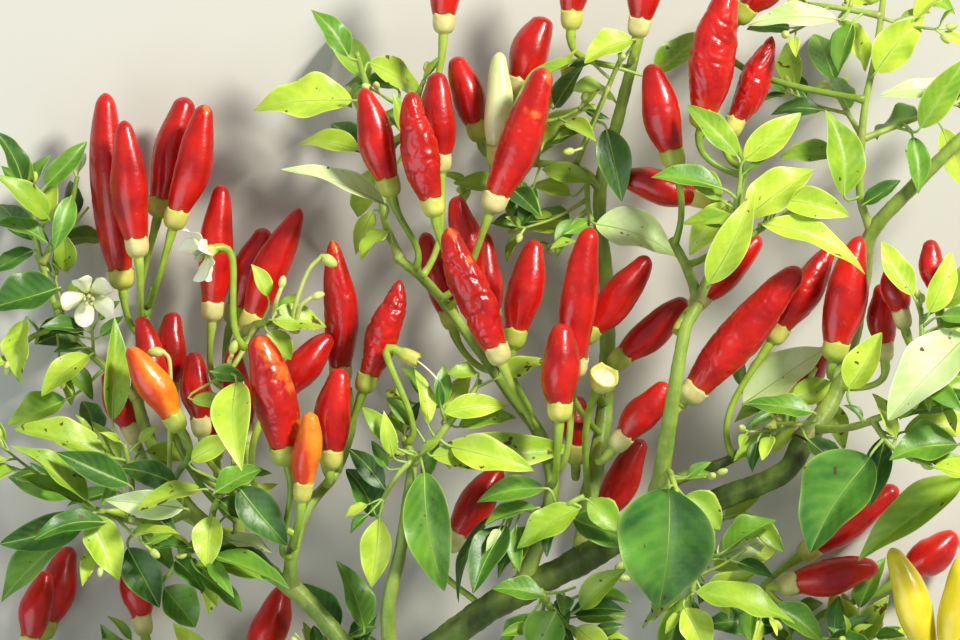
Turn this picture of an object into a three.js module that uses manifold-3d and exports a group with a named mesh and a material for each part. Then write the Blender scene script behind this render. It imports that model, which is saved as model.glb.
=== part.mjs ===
// A fruiting branch of a chilli pepper plant, cut through its main stem and laid down: forking green
// shoots, upright pods on their stalks, and sprays of leaves. Sizes are in millimetres.
// While it grows, the branch has a frame of its own: x to the right and y along the shoots as one looks down
// on it, and z up from the layer of the sharpest pods. At the end it is moved to lie on z = 0, over the origin.
import * as THREE from "three";
import { mergeVertices } from "three/addons/utils/BufferGeometryUtils.js";
import Module from "manifold-3d";

const wasm = await Module();
wasm.setup();

// The ground that the branch lies on, in its own frame, and the gap left at every seat.
const GROUND = -40;
const SEAT_GAP = 0.3;

// Stems: tubes with this many sides, a ring about every so many millimetres.
const STEM_SIDES = 6;
const STEM_RING_STEP = 15;
const SPAN_STEPS = 8;
const TWIG_SIDES = 3;
const TWIG_RING_STEP = 12;
const SPRAY_RADII = [1.1, 0.7];
const TWIG_RADII = [0.8, 0.6];

// Pods: stalk and calyx sizes, and how far apart the stalks of one cluster leave their shoot.
const STALK_RADIUS = 0.85;
const KNUCKLE_STEP = 2.7;
const STALK_STATIONS = [0, 0.35, 0.7];
const POD_SIDES = 6;
const SMALL_POD_SIDES = 5;
const POD_STATIONS = [0.16, 0.45, 0.82, 0.97];
const SMALL_POD_STATIONS = [0.28, 0.68, 0.96];
const POD_FOOT = 0.66;
const POD_BELLY = 0.42;
const POD_TAPER = 0.62;
const POD_CLOSE = 0.88;
const CALYX_LENGTH = 6;
const CALYX_WAIST = 0.8;
const FLOWER_STATIONS = [0.4, 1];
const FLOWER_THROAT = 0.25;
const FLOWER_CALYX_LENGTH = 2.5;
const STALK_CURVE = 0.38;
const BEAD_STEP = 1.5;
const POD_CLEARANCE = 0.45;
const POD_SHIFTS = [0, 1.5, -1.5, 3, -3, 4.5, -4.5, 6, -6, 8, -8, 10, -10, 12, -12, 15, -15, 18, -18];
const POD_SIDESTEPS = [0, 1.5, -1.5, 3, -3];

// Leaves: blade thickness, arch and fold, leaf stalks, and how far a blade keeps from all else.
const LEAF_THICKNESS = 0.02;
const LEAF_ARCH = 0.07;
const LEAF_FOLD = 0.3;
const LEAF_CLEARANCE = 1.0;
const LEAF_SAMPLE_STEP = 1.2;
const LEAF_STATIONS = [0.68, 0.27];
const LEAST_THICKNESS = 0.5;
const LEAF_BEAD_RADIUS = 0.3;
const STALK_LEAD = 2;
const STALK_CLEARANCE = 0.5;
const LEAF_SHIFTS = [0, 3, -3, 6, -6, 9, -9, 13, -13];
const LEAF_STALK_RADIUS = 0.5;
const FREE_FOOT = 3;
const SUNWARD = new THREE.Vector3(0, 0.6, 0.8);

// Surface finishes.
const FINISHES = {
  bark: { color: 0x77813c, roughness: 0.7 },
  shoot: { color: 0x7fa032, roughness: 0.5 },
  leaf: { color: 0x5d9a24, roughness: 0.45 },
  ripe: { color: 0xc4120c, roughness: 0.25 },
  turning: { color: 0xf06a14, roughness: 0.3 },
  unripe: { color: 0xe6d23c, roughness: 0.3 },
};

// The limbs. Each is one tapering stem through a few points, first the point on the stem that bears it.
const LIMBS = [
  {
    name: "main_stem",
    path: [[-21, -106, -8], [-16, -88, -9], [-7, -79, -8], [6, -70, -7], [20, -63, -6], [33, -56, -5],
      [48, -49, -5], [62, -44, -4], [76, -38, -2], [81, -30, -2]],
    radii: [3.9, 2.5],
  },
  {
    name: "near_shoot",
    from: "main_stem",
    path: [[-17, -93, -8], [-22, -84, 0], [-23, -72, 5], [-20, -58, 7], [-18, -44, 8], [-17, -36, 8],
      [-19, -29, 8]],
    radii: [2.2, 1.1],
  },
  {
    name: "left_limb",
    from: "main_stem",
    path: [[-19, -98, -8], [-30, -86, -8], [-40, -74, -7], [-47, -67, -6], [-57, -60, -6], [-72, -48, -6],
      [-80, -36, -14], [-86, -20, -26], [-85, -4, -31], [-82, 8, -32]],
    radii: [2.5, 1.2],
  },
  {
    name: "left_inner_shoot",
    from: "left_limb",
    path: [[-47, -67, -6], [-47, -59, 1], [-43, -47, 0], [-36, -38, -6], [-32, -26, -7], [-33, -17, -7]],
    radii: [1.7, 1.0],
  },
  {
    name: "left_upper_shoot",
    from: "left_limb",
    path: [[-60, -57, -6], [-60, -44, -16], [-62, -28, -21], [-64, -14, -21], [-61, -5, -12], [-57, -2, -4]],
    radii: [1.7, 0.9],
  },
  {
    name: "middle_shoot",
    from: "main_stem",
    path: [[10, -68, -7], [15, -54, -4], [18, -41, -1], [15, -29, -3], [8, -19, -6], [-2, -5, -8],
      [-12, 8, -4], [-21, 16, 0]],
    radii: [2.1, 1.1],
  },
  {
    name: "tall_shoot",
    from: "main_stem",
    path: [[26, -60, -5], [27, -46, -14], [31, -25, -22], [32, 5, -26], [30, 31, -22], [35, 52, -18],
      [40, 72, -15], [43, 87, -12]],
    radii: [2.4, 1.2],
  },
  {
    name: "right_shoot",
    from: "main_stem",
    path: [[42, -52, -5], [45, -40, 10], [48, -20, 20], [51, -3, 20], [54, 4, 17], [52, 12, 10], [48, 20, 3]],
    radii: [2.4, 1.1],
  },
  {
    name: "right_upper_shoot",
    from: "right_shoot",
    path: [[54, 4, 17], [59, 15, 10], [64, 28, 4], [66, 37, 1], [64, 44, -1]],
    radii: [1.3, 0.9],
  },
  {
    name: "right_inner_shoot",
    from: "right_shoot",
    path: [[45, -42, 8], [51, -39, 3], [57, -37, 1], [64, -34, 0], [73, -27, 0]],
    radii: [1.6, 1.0],
  },
  {
    name: "right_limb",
    from: "main_stem",
    path: [[81, -30, -2], [88, -20, -6], [93, -5, -9], [96, 11, -7], [98, 22, -3], [109, 34, 0],
      [120, 45, 0], [131, 55, 0]],
    radii: [2.4, 1.4],
  },
];

// The sprays of leaves. Each has one stem from its limb, twigs from that stem, and leaves on both. A leaf is
// its foot, its tip, its width, and how far it is rolled about its midrib, in degrees. fill is the number of
// further leaves that the seeded rule tries to add, and low sends some of those down to the ground.
const SPRAYS = [
  {
    name: "left_leaves",
    from: "left_limb",
    path: [[-72, -48, -6], [-81, -51, -1], [-91, -49, 2], [-99, -46, 1], [-106, -41, -2]],
    twigs: [[[-88, -50, 1], [-87, -42, -3], [-89, -31, -2]]],
    leaves: [
      [[-98, -45, 6], [-117, -31, 9], 11, 25],
      [[-94, -34, -2], [-116, -26, -1], 10, 10],
      [[-88, -41, 3], [-106, -33, 4], 8, -20],
      [[-76, -41, -1], [-90, -37, -1], 7, -30],
      [[-74, -47, 8], [-94, -45, 9], 7.5, -40],
      [[-99, -50, 0], [-120, -56, 0], 9, -35],
      [[-97, -49, 5], [-90, -65, 7], 10, 0],
      [[-101, -52, -8], [-121, -70, -12], 13, 20],
      [[-88, -57, -2], [-80, -72, -2], 10, 15],
      [[-92, -25, -3], [-91, 1, -2], 7.5, 30],
    ],
    fill: 1,
  },
  {
    name: "left_centre_leaves",
    from: "left_limb",
    path: [[-66, -53, -6], [-67, -50, 2], [-66, -46, 7], [-63, -41, 9], [-62, -37, 10]],
    twigs: [[[-67, -51, 0], [-73, -57, 0], [-78, -64, -2]]],
    leaves: [
      [[-76, -60, 3], [-69, -68, 5], 7, 0],
      [[-79, -67, -1], [-71, -77, 0], 10, 10],
      [[-67, -49, 9], [-68, -62, 11], 8, 10],
      [[-65, -45, 11], [-58, -50, 12], 6, -10],
      [[-60, -42, 9], [-48, -56, 8], 10, 20],
      [[-63, -55, 4], [-52, -58, 6], 7, -20],
      [[-66, -43, 12], [-54, -37, 10], 7, 0],
      [[-72, -35, 8], [-61, -29, 9], 6, 20],
    ],
    fill: 1,
  },
  {
    name: "flower_leaves",
    from: "left_upper_shoot",
    path: [[-58, -3, -6], [-55, -1, 1], [-50, -1, 4], [-45, -2, 5]],
    twigs: [[[-56, -1, 0], [-60, -9, 4], [-64, -15, 6]]],
    leaves: [
      [[-53, 6, 6], [-57, 14, 7], 4.5, 0],
      [[-53, -3, 8], [-47, -10, 6], 6, 20],
      [[-52, 0, 8], [-38, -1, 4], 9, 0],
      [[-67, -13, 8], [-58, -15, 9], 5, 10],
      [[-72, -20, 6], [-61, -22, 7], 5, 0],
    ],
    fill: 1,
  },
  {
    name: "left_edge_leaves",
    from: "left_limb",
    path: [[-86, -20, -26], [-94, -12, -26], [-104, -2, -24], [-110, 14, -22], [-113, 32, -20]],
    twigs: [
      [[-104, -2, -24], [-112, -4, -22], [-117, -9, -20]],
      [[-110, 14, -22], [-103, 28, -21], [-101, 36, -20]],
    ],
    leaves: [
      [[-108, 19, -18], [-122, 25, -17], 7, 20],
      [[-106, 8, -16], [-123, 3, -16], 12, 0],
      [[-114, 0, -18], [-116, -15, -16], 8, 30],
      [[-98, -9, -18], [-110, -19, -16], 7, 0],
      [[-104, -20, -24], [-119, -26, -24], 9, 0],
      [[-112, 20, -26], [-121, 30, -39], 8, 0],
    ],
    fill: 1,
    low: true,
  },
  {
    name: "centre_leaves",
    from: "near_shoot",
    path: [[-17, -36, 8], [-12, -31, 10], [-8, -26, 10], [-3, -20, 9], [0, -15, 7]],
    twigs: [[[-12, -31, 10], [-20, -38, 14], [-25, -46, 8]]],
    leaves: [
      [[-12, -34, 12], [23, -32, 2], 10, 20],
      [[-14, -38, 12], [-9, -68, 10], 12, 10],
      [[-9, -23, 12], [7, -21, 9], 6.5, 20],
      [[-1, -13, 10], [-8, -13, 12], 5, 0],
      [[-13, -26, 12], [-16, -12, 10], 5, 30],
      [[-26, -49, 3], [-33, -37, 4], 9.5, 10],
      [[-24, -42, 6], [-33, -32, 3], 6, -20],
    ],
    fill: 2,
  },
  {
    name: "fan_leaves",
    from: "middle_shoot",
    path: [[16, -51, -4], [19, -48, 4], [22, -46, 8], [26, -44, 8]],
    twigs: [[[17, -50, 0], [11, -47, 2], [5, -48, 2]]],
    leaves: [
      [[16, -42, 9], [-1, -45, 8], 7, -10],
      [[14, -47, 7], [1, -51, 8], 6, 20],
      [[25, -47, 9], [9, -57, 8], 9, 0],
      [[3, -49, 1], [-7, -70, 2], 7, 60],
      [[27, -45, 8], [36, -53, 9], 8, 10],
    ],
    fill: 1,
  },
  {
    name: "stem_foot_leaves",
    from: "main_stem",
    path: [[14, -66, -7], [17, -71, -1], [20, -75, 1], [25, -79, 0]],
    twigs: [],
    leaves: [
      [[16, -69, 5], [3, -67, 6], 7, 0],
      [[19, -73, 4], [14, -84, 2], 12, 0],
      [[24, -77, 2], [34, -84, 2], 7, 20],
    ],
    fill: 1,
  },
  {
    name: "lower_left_leaves",
    from: "main_stem",
    path: [[-20, -102, -8], [-33, -99, -15], [-60, -96, -24], [-88, -92, -30], [-108, -88, -32]],
    twigs: [[[-33, -99, -15], [-35, -88, -15], [-36, -78, -13]]],
    leaves: [
      [[-29, -77, -8], [-35, -60, -6], 9, 20],
      [[-36, -78, -12], [-45, -66, -14], 8, 0],
      [[-62, -92, -20], [-74, -80, -18], 8, 0],
      [[-94, -94, -33], [-108, -102, -39], 9, 0],
    ],
    fill: 3,
    low: true,
  },
  {
    name: "front_leaves",
    from: "right_shoot",
    path: [[45, -42, 8], [47, -38, 19], [48, -40, 26], [49, -43, 29]],
    twigs: [],
    leaves: [
      [[47, -42, 31], [44, -73, 22], 25, 0],
      [[51, -44, 27], [60, -52, 24], 9, 0],
    ],
    fill: 1,
  },
  {
    name: "lower_right_leaves",
    from: "main_stem",
    path: [[55, -46, -5], [57, -56, -13], [66, -68, -23], [84, -80, -28], [102, -91, -24], [113, -97, -15]],
    twigs: [[[57, -57, -13], [54, -64, -5], [53, -69, 0]]],
    leaves: [
      [[54, -68, 4], [79, -75, 4], 11, -10],
      [[51, -72, 2], [57, -84, 2], 9, 0],
      [[61, -58, -4], [74, -50, -6], 9, -20],
      [[70, -50, -10], [76, -58, -8], 5, 20],
      [[74, -72, -16], [86, -80, -14], 8, 0],
      [[84, -83, -30], [92, -96, -39], 8, 0],
    ],
    fill: 2,
    low: true,
  },
  {
    name: "right_leaves",
    from: "right_inner_shoot",
    path: [[72, -28, 0], [76, -24, -5], [80, -20, -10], [84, -12, -14]],
    twigs: [[[75, -25, -3], [70, -22, -9], [66, -18, -12]], [[74, -26, -2], [80, -26, 4], [84, -25, 8]]],
    leaves: [
      [[66, -21, -14], [86, -6, -15], 13, 0],
      [[83, -23, 11], [66, -20, 12], 7, 0],
      [[78, -20, 4], [88, -15, 2], 7, 20],
      [[82, -30, 6], [92, -38, 6], 7, 0],
    ],
    fill: 1,
  },
  {
    name: "right_front_leaves",
    from: "right_limb",
    path: [[83, -27, -3], [91, -27, 8], [98, -25, 16], [108, -20, 20], [116, -12, 20]],
    twigs: [[[98, -25, 16], [102, -31, 18], [108, -35, 16]], [[108, -20, 20], [110, -8, 18], [110, 3, 16]]],
    leaves: [
      [[97, -34, 22], [82, -58, 18], 19, 0],
      [[121, -4, 22], [101, -24, 27], 15, 0],
      [[92, -17, 18], [100, -3, 19], 9, 0],
      [[119, -31, 12], [102, -34, 14], 12, 0],
      [[112, 2, 20], [118, 17, 18], 7, 30],
      [[108, 6, 18], [100, 20, 14], 7, 0],
      [[121, -40, 2], [94, -60, -4], 12, 0],
    ],
    fill: 2,
  },
  {
    name: "right_top_leaves",
    from: "right_limb",
    path: [[98, 22, -3], [95, 32, -1], [96, 52, 0], [99, 67, 0], [101, 82, 0], [102, 90, 0]],
    twigs: [
      [[101, 76, 0], [90, 78, -2], [82, 79, -4]],
      [[96, 45, 0], [108, 50, -4], [118, 54, -6]],
      [[96, 46, 0], [92, 52, -12], [89, 58, -22]],
    ],
    leaves: [
      [[89, 75, 4], [67, 75, 4], 7, 0],
      [[93, 74, 1], [89, 62, 3], 7, 20],
      [[99, 62, 4], [111, 76, 4], 10, 20],
      [[120, 58, -1], [100, 57, 4], 6, 0],
      [[91, 31, 4], [87, 53, 2], 11, 20],
      [[96, 29, 4], [105, 35, 5], 5, 0],
      [[110, 48, 0], [122, 66, -2], 8, 20],
      [[89, 60, -26], [84, 73, -39], 9, 0],
    ],
    fill: 2,
    low: true,
  },
  {
    name: "upper_front_leaves",
    from: "right_upper_shoot",
    path: [[59, 15, 10], [62, 17, 17], [66, 20, 21], [72, 24, 22]],
    twigs: [[[62, 17, 17], [64, 28, 18], [65, 36, 18]]],
    leaves: [
      [[64, 41, 18], [52, 54, 16], 7, 0],
      [[66, 40, 19], [80, 52, 18], 8, 20],
      [[67, 26, 23], [83, 38, 21], 12, 0],
      [[57, 9, 25], [68, 32, 27], 9, 10],
      [[70, 24, 24], [97, 13, 22], 8, 0],
      [[75, 30, 20], [92, 26, 18], 8, 20],
      [[60, 30, 18], [50, 38, 15], 7, 0],
    ],
    fill: 1,
  },
  {
    name: "top_leaves",
    from: "tall_shoot",
    path: [[31, 33, -22], [24, 38, -20], [10, 39, -19], [-2, 34, -17]],
    twigs: [
      [[24, 38, -20], [29, 51, -10], [35, 65, -3]],
      [[14, 39, -19], [16, 50, -14], [20, 60, -8]],
      [[27, 36, -21], [27, 29, -15], [28, 25, -10]],
    ],
    leaves: [
      [[38, 70, 1], [26, 65, 3], 8, 0],
      [[24, 65, -2], [7, 53, 0], 6.5, 30],
      [[29, 24, -8], [50, 17, -8], 13, 0],
      [[13, 42, -25], [9, 55, -39], 8, 0],
      [[44, 62, -6], [56, 72, -8], 8, 0],
    ],
    fill: 2,
    low: true,
  },
  {
    name: "top_left_leaves",
    from: "middle_shoot",
    path: [[-20, 15, 0], [-24, 26, -9], [-25, 42, -14], [-28, 57, -14], [-31, 67, -12]],
    twigs: [[[-27, 50, -14], [-17, 55, -14], [-14, 60, -12]]],
    leaves: [
      [[-24, 29, -4], [-50, 38, -3], 9, 20],
      [[-32, 55, -12], [-57, 54, -14], 13, 0],
      [[-23, 22, -2], [-30, 15, 0], 7.5, 30],
      [[-33, 66, -10], [-42, 78, -10], 7, 0],
      [[-28, 60, -20], [-37, 73, -39], 8, 0],
    ],
    fill: 2,
    low: true,
  },
];

// The pods, in clusters. Their stalks leave one knuckle of a shoot, near the point at. Each row is the pod's
// foot, its tip, its girth, how far it bows to the left of the line from foot to tip, and its ripeness where
// it isn't ripe. A calyx whose pod has dropped is a very short pod. The large pods are pieces of their own,
// and those behind and at the edges are fused to the stem that bears them, as the flowers are.
const CLUSTERS = [
  { name: "left_top_pod", on: "left_limb", at: [-84, 0, -31], pods: [
    [[-90, 12, -24], [-94, 57, -23], 10.4, 1],
    [[-86, 20, -13], [-89, 50, -11], 9.4, 0.5],
    [[-80, 30, -26], [-74, 56, -26], 10, 0],
    [[-76, 27, -15], [-69, 54, -14], 9.4, -1],
  ] },
  { name: "left_middle_pod", on: "left_upper_shoot", at: [-64, -14, -21], pods: [
    [[-67, 4, -20], [-65, 34, -19], 9, 0],
    [[-61, 3, -26], [-54, 23, -26], 8.6, 0],
    [[-57, 1, -14], [-45, 28, -13], 9, 0.5],
  ] },
  { name: "orange_pod", on: "left_limb", at: [-77, -41, -10], pods: [
    [[-77, -24, 4], [-88, -7, 6], 8.6, -0.5, "turning"],
  ] },
  { name: "left_low_pod", on: "left_upper_shoot", at: [-60, -43, -16], pods: [
    [[-78, -16, -18], [-77, 2, -19], 8, 0],
    [[-70, -25, -10], [-72, -8, -10], 8, 0],
  ] },
  { name: "left_low_small", on: "left_upper_shoot", at: [-60, -50, -12], fused: true, pods: [
    [[-88, -27, -27], [-94, -13, -28], 7.4, 0],
    [[-79, -20, -7], [-85, 1, -9], 7.4, 0.5],
    [[-67, -31, -27], [-69, -17, -28], 7.4, 0],
    [[-59, -27, -9], [-62, -7, -10], 7.6, 0],
  ] },
  { name: "left_near_pod", on: "left_inner_shoot", at: [-47, -56, 0], pods: [
    [[-49, -32, 12], [-56, -4, 16], 11.4, -1],
    [[-44, -41, 15], [-42, -23, 18], 7.4, 0, "turning"],
    [[-49, -18, 0], [-37, -4, -1], 9, 0.5],
  ] },
  { name: "left_inner_pod", on: "left_inner_shoot", at: [-37, -40, -5], pods: [
    [[-37, -33, 6], [-35, -12, 8], 9.4, 0.5],
    [[-35, -12, -2], [-37, 20, 3], 9, -1],
    [[-28, -14, 8], [-20, 10, 10], 8.4, -0.5],
  ] },
  { name: "centre_pod", on: "middle_shoot", at: [13, -26, -4], pods: [
    [[4, -7, 14], [-8, 23, 16], 9.6, 0.5],
    [[9, -3, 2], [14, 20, 1], 9.2, 0],
  ] },
  { name: "centre_back_pod", on: "middle_shoot", at: [3, -12, -7], fused: true, pods: [
    [[-1, 10, -5], [-6, 31, -5], 8.2, 0],
    [[-8, 2, -16], [-14, 22, -17], 7.8, 0],
    [[3, 2, -15], [1, 22, -16], 7, 0],
  ] },
  { name: "centre_right_pod", on: "middle_shoot", at: [18, -40, -1], pods: [
    [[20, -21, 20], [21, -1, 22], 10, 0.5],
    [[24, -10, 8], [28, 23, 10], 9.6, 1.5],
  ] },
  { name: "tall_pod", on: "tall_shoot", at: [30, -30, -20], pods: [
    [[36, -29, 2], [47, -16, 3], 8.4, 0],
    [[28, -2, -2], [42, 16, -3], 9, -0.5],
  ] },
  { name: "tall_back_pod", on: "tall_shoot", at: [31, -20, -23], fused: true, pods: [
    [[36, -9, -11], [52, 5, -12], 8.4, 0],
    [[24, -32, -7], [24, -19, -7], 7.6, 0],
  ] },
  { name: "top_bowed_pod", on: "middle_shoot", at: [-9, 4, -5], pods: [
    [[-12, 30, 9], [-17, 57, 11], 9, 1],
    [[4, 31, 6], [16, 63, 8], 10.4, -1],
  ] },
  { name: "top_centre_pod", on: "middle_shoot", at: [-16, 11, -2], pods: [
    [[-10, 41, -3], [-11, 62, -3], 9, 0],
    [[-23, 35, 2], [-29, 58, 3], 9, 0.5],
  ] },
  { name: "top_back_small", on: "top_leaves", at: [6, 38, -18], fused: true, pods: [
    [[-1, 49, -12], [-6, 66, -12], 8.6, 0],
    [[4, 43, -4], [5, 67, -5], 7, 0],
    [[10, 60, -13], [16, 76, -13], 10, 0],
  ] },
  { name: "top_edge_small", on: "tall_shoot", at: [38, 64, -16], fused: true, pods: [
    [[23, 77, -10], [24, 98, -10], 8.6, 0],
    [[40, 75, 0], [44, 96, 1], 9, 0],
  ] },
  { name: "top_left_small", on: "top_left_leaves", at: [-25, 44, -14], fused: true, pods: [
    [[-9, 76, -8], [-8, 101, -8], 9, 0],
  ] },
  { name: "right_top_pod", on: "right_shoot", at: [48, 19, 4], pods: [
    [[48, 42, 6], [43, 64, 6], 9.6, 0.5],
  ] },
  { name: "right_top_small", on: "right_shoot", at: [51, 14, 9], fused: true, pods: [
    [[54, 31, -8], [34, 36, -8], 8.6, 0],
  ] },
  { name: "right_back_small", on: "right_shoot", at: [51, -2, 20], fused: true, pods: [
    [[56, 6, -4], [70, 21, -5], 8, 0],
  ] },
  { name: "right_high_pod", on: "right_upper_shoot", at: [66, 37, 1], pods: [
    [[56, 52, 4], [62, 83, 5], 11.4, 0.5],
    [[64, 50, -2], [73, 71, -2], 8, -0.5],
  ] },
  { name: "right_inner_pod", on: "right_inner_shoot", at: [63, -34, 0], pods: [
    [[75, -2, 0], [88, 18, -2], 8.6, 0],
  ] },
  { name: "right_long_pod", on: "right_shoot", at: [48, -24, 18], pods: [
    [[54, -17, 8], [80, 13, 11], 11, 0.5],
  ] },
  { name: "right_limb_pod", on: "right_limb", at: [91, -12, -8], pods: [
    [[89, -6, 8], [95, 21, 9], 10.6, 0.5],
  ] },
  { name: "right_limb_small", on: "right_limb", at: [89, -18, -7], fused: true, pods: [
    [[79, -17, -18], [88, -7, -21], 7.8, 0],
    [[101, -6, 0], [100, 9, 1], 7.6, 0],
  ] },
  { name: "right_edge_small", on: "right_front_leaves", at: [115, -13, 20], fused: true, pods: [
    [[105, 2, 10], [102, 13, 10], 7, 0],
    [[114, 7, 9], [112, 20, 9], 7, 0],
  ] },
  { name: "right_corner_small", on: "right_top_leaves", at: [97, 55, 0], fused: true, pods: [
    [[67, 78, -10], [77, 90, -10], 8.6, 0],
  ] },
  { name: "lower_right_far_small", on: "lower_right_leaves", at: [69, -70, -24], fused: true, pods: [
    [[84, -57, -32], [105, -42, -32], 8.8, 0],
  ] },
  { name: "lower_right_small", on: "lower_right_leaves", at: [80, -78, -27], fused: true, pods: [
    [[79, -66, -34], [100, -62, -34], 9.6, 0],
    [[108, -63, -30], [120, -54, -30], 9.4, 0],
  ] },
  { name: "yellow_pod", on: "lower_right_leaves", at: [105, -93, -22], pods: [
    [[112, -83, -8], [103, -57, -7], 9, -0.5, "unripe"],
  ] },
  { name: "yellow_edge_small", on: "lower_right_leaves", at: [112, -96, -16], fused: true, pods: [
    [[118, -84, -6], [121, -59, -5], 9.6, 0],
  ] },
  { name: "lower_left_small", on: "lower_left_leaves", at: [-96, -91, -31], fused: true, pods: [
    [[-85, -75, -32], [-88, -60, -33], 8, 0],
    [[-109, -76, -33], [-103, -57, -34], 9.4, 0],
    [[-113, -80, -22], [-109, -63, -22], 8, 0],
  ] },
  { name: "lower_left_far_small", on: "lower_left_leaves", at: [-62, -96, -25], fused: true, pods: [
    [[-56, -85, -28], [-49, -67, -30], 9.4, 0],
  ] },
  { name: "empty_calyx", on: "tall_shoot", at: [27, -45, -15], fused: true, pods: [
    [[31, -14, 15], [32, -12, 17], 9.6, 0],
  ] },
  { name: "spent_calyx", on: "near_shoot", at: [-18, -31, 8], fused: true, pods: [
    [[-16, -10, 11], [-14, -11, 11], 6, 0],
  ] },
  { name: "left_flower", on: "flower_leaves_twig_1", at: [-59, -7, 3], fused: true, flower: true, pods: [
    [[-68, 17, 7], [-73, 15, 9], 15, 0],
  ] },
  { name: "edge_flower", on: "left_edge_leaves", at: [-106, 4, -23], fused: true, flower: true, pods: [
    [[-98, 6, -14], [-98, 4, -9], 14, 0],
  ] },
  { name: "stem_small", on: "main_stem", at: [1, -73, -7], fused: true, pods: [
    [[-6, -54, -12], [5, -37, -14], 9.4, 0],
  ] },
  { name: "stem_far_small", on: "main_stem", at: [33, -56, -5], fused: true, pods: [
    [[31, -49, -29], [41, -30, -28], 8.6, 0],
  ] },
];

// A seeded stream of numbers from 0 to 1.
function randomStream(seed) {
  let state = seed;
  return () => {
    state = (state + 0x6d2b79f5) | 0;
    let t = Math.imul(state ^ (state >>> 15), 1 | state);
    t = (t + Math.imul(t ^ (t >>> 7), 61 | t)) ^ t;
    return ((t ^ (t >>> 14)) >>> 0) / 4294967296;
  };
}

const vector = (point) => new THREE.Vector3(...point);

// A smooth line through the points, as a row of close positions.
function trace(points) {
  const curve = new THREE.CatmullRomCurve3(points, false, "catmullrom", 0.5);
  return measured(curve.getPoints((points.length - 1) * SPAN_STEPS));
}

// A line is its positions, with the length run so far at each, and its whole length.
function measured(positions) {
  const run = [0];
  for (let i = 1; i < positions.length; i++)
    run.push(run[i - 1] + positions[i].distanceTo(positions[i - 1]));
  return { positions, run, length: run[run.length - 1] };
}

// The position at a length along a traced line.
function along(line, length) {
  const s = Math.min(Math.max(length, 0), line.length);
  let i = 1;
  while (i < line.run.length - 1 && line.run[i] < s) i++;
  const share = (s - line.run[i - 1]) / (line.run[i] - line.run[i - 1]);
  return line.positions[i - 1].clone().lerp(line.positions[i], share);
}

// The length along a traced line at which it passes nearest to a point.
function nearest(line, point) {
  let best = 0;
  let least = Infinity;
  for (let s = 0; s <= line.length; s += 0.5) {
    const gap = along(line, s).distanceTo(point);
    if (gap < least) [least, best] = [gap, s];
  }
  return best;
}

function cubic(a, b, c, d, steps) {
  return new THREE.CubicBezierCurve3(a, b, c, d).getPoints(steps);
}

// A closed solid round a row of rings, each a centre and a radius: a lathe turned on a straight axis, its
// rings then carried to their centres and turned square to the line through them. A ring can also be drawn
// out sideways to a half width, with its two sides raised above its middle, as the halves of a leaf are.
function tube(rings, sides, sideways) {
  const last = rings.length - 1;
  const closed = [{ at: rings[0].at, radius: 0 }, ...rings, { at: rings[last].at, radius: 0 }];
  const profile = closed.map((ring, i) => new THREE.Vector2(ring.radius, i));
  const geometry = new THREE.LatheGeometry(profile, sides);
  const tangents = closed.map((_, i) => {
    const ahead = rings[Math.min(Math.max(i, 1), last)].at;
    const behind = rings[Math.min(Math.max(i - 2, 0), last - 1)].at;
    return ahead.clone().sub(behind).normalize();
  });
  const steep = Math.abs(tangents[0].z) > 0.9;
  let side = sideways || (steep ? new THREE.Vector3(1, 0, 0) : new THREE.Vector3(0, 0, 1));
  const frames = tangents.map((tangent) => {
    side = side.clone().addScaledVector(tangent, -side.dot(tangent)).normalize();
    return [side, side.clone().cross(tangent)];
  });
  const position = geometry.getAttribute("position");
  for (let v = 0; v < position.count; v++) {
    const index = Math.round(position.getY(v));
    const ring = closed[index];
    const [right, up] = frames[index];
    const stretch = ring.half ? ring.half / ring.radius : 1;
    const rise = ring.half ? (ring.rise * Math.abs(position.getX(v))) / ring.radius : 0;
    const place = ring.at.clone()
      .addScaledVector(right, position.getX(v) * stretch)
      .addScaledVector(up, position.getZ(v) + rise);
    position.setXYZ(v, place.x, place.y, place.z);
  }
  return solidOf(geometry);
}

function solidOf(geometry) {
  const bare = new THREE.BufferGeometry().setAttribute("position", geometry.getAttribute("position"));
  bare.setIndex(geometry.getIndex());
  const merged = mergeVertices(bare, 1e-4);
  const kept = [];
  const index = merged.getIndex().array;
  for (let i = 0; i < index.length; i += 3) {
    const [a, b, c] = index.subarray(i, i + 3);
    if (a !== b && b !== c && c !== a) kept.push(a, b, c);
  }
  return new wasm.Manifold(new wasm.Mesh({
    numProp: 3,
    vertProperties: merged.getAttribute("position").array,
    triVerts: new Uint32Array(kept),
  }));
}

function geometryOf(solid) {
  const mesh = solid.getMesh();
  const geometry = new THREE.BufferGeometry();
  geometry.setAttribute("position", new THREE.BufferAttribute(new Float32Array(mesh.vertProperties), 3));
  geometry.setIndex(new THREE.BufferAttribute(new Uint32Array(mesh.triVerts), 1));
  return geometry;
}

const largest = (solid) =>
  solid.decompose().reduce((best, body) => (body.volume() > best.volume() ? body : best));

// All that has grown so far, as beads: a centre and a radius, with the name of the stem they belong to.
const beads = [];

function tooClose(position, radius, clearance, ignored) {
  return beads.some((bead) => {
    const reach = bead.radius + radius + clearance;
    return Math.abs(bead.at.x - position.x) < reach && Math.abs(bead.at.y - position.y) < reach
      && !ignored.includes(bead.owner) && bead.at.distanceTo(position) < reach;
  });
}

function beadsOf(line, radiusAt, owner) {
  const found = [];
  for (let s = 0; s <= line.length; s += BEAD_STEP)
    found.push({ at: along(line, s), radius: radiusAt(s), owner, run: s });
  return found;
}

// Every stem that can bear something: its line, its radius at a length, and the node that it is part of.
const stems = new Map();
const solids = new Map();
const finishes = new Map();

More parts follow.
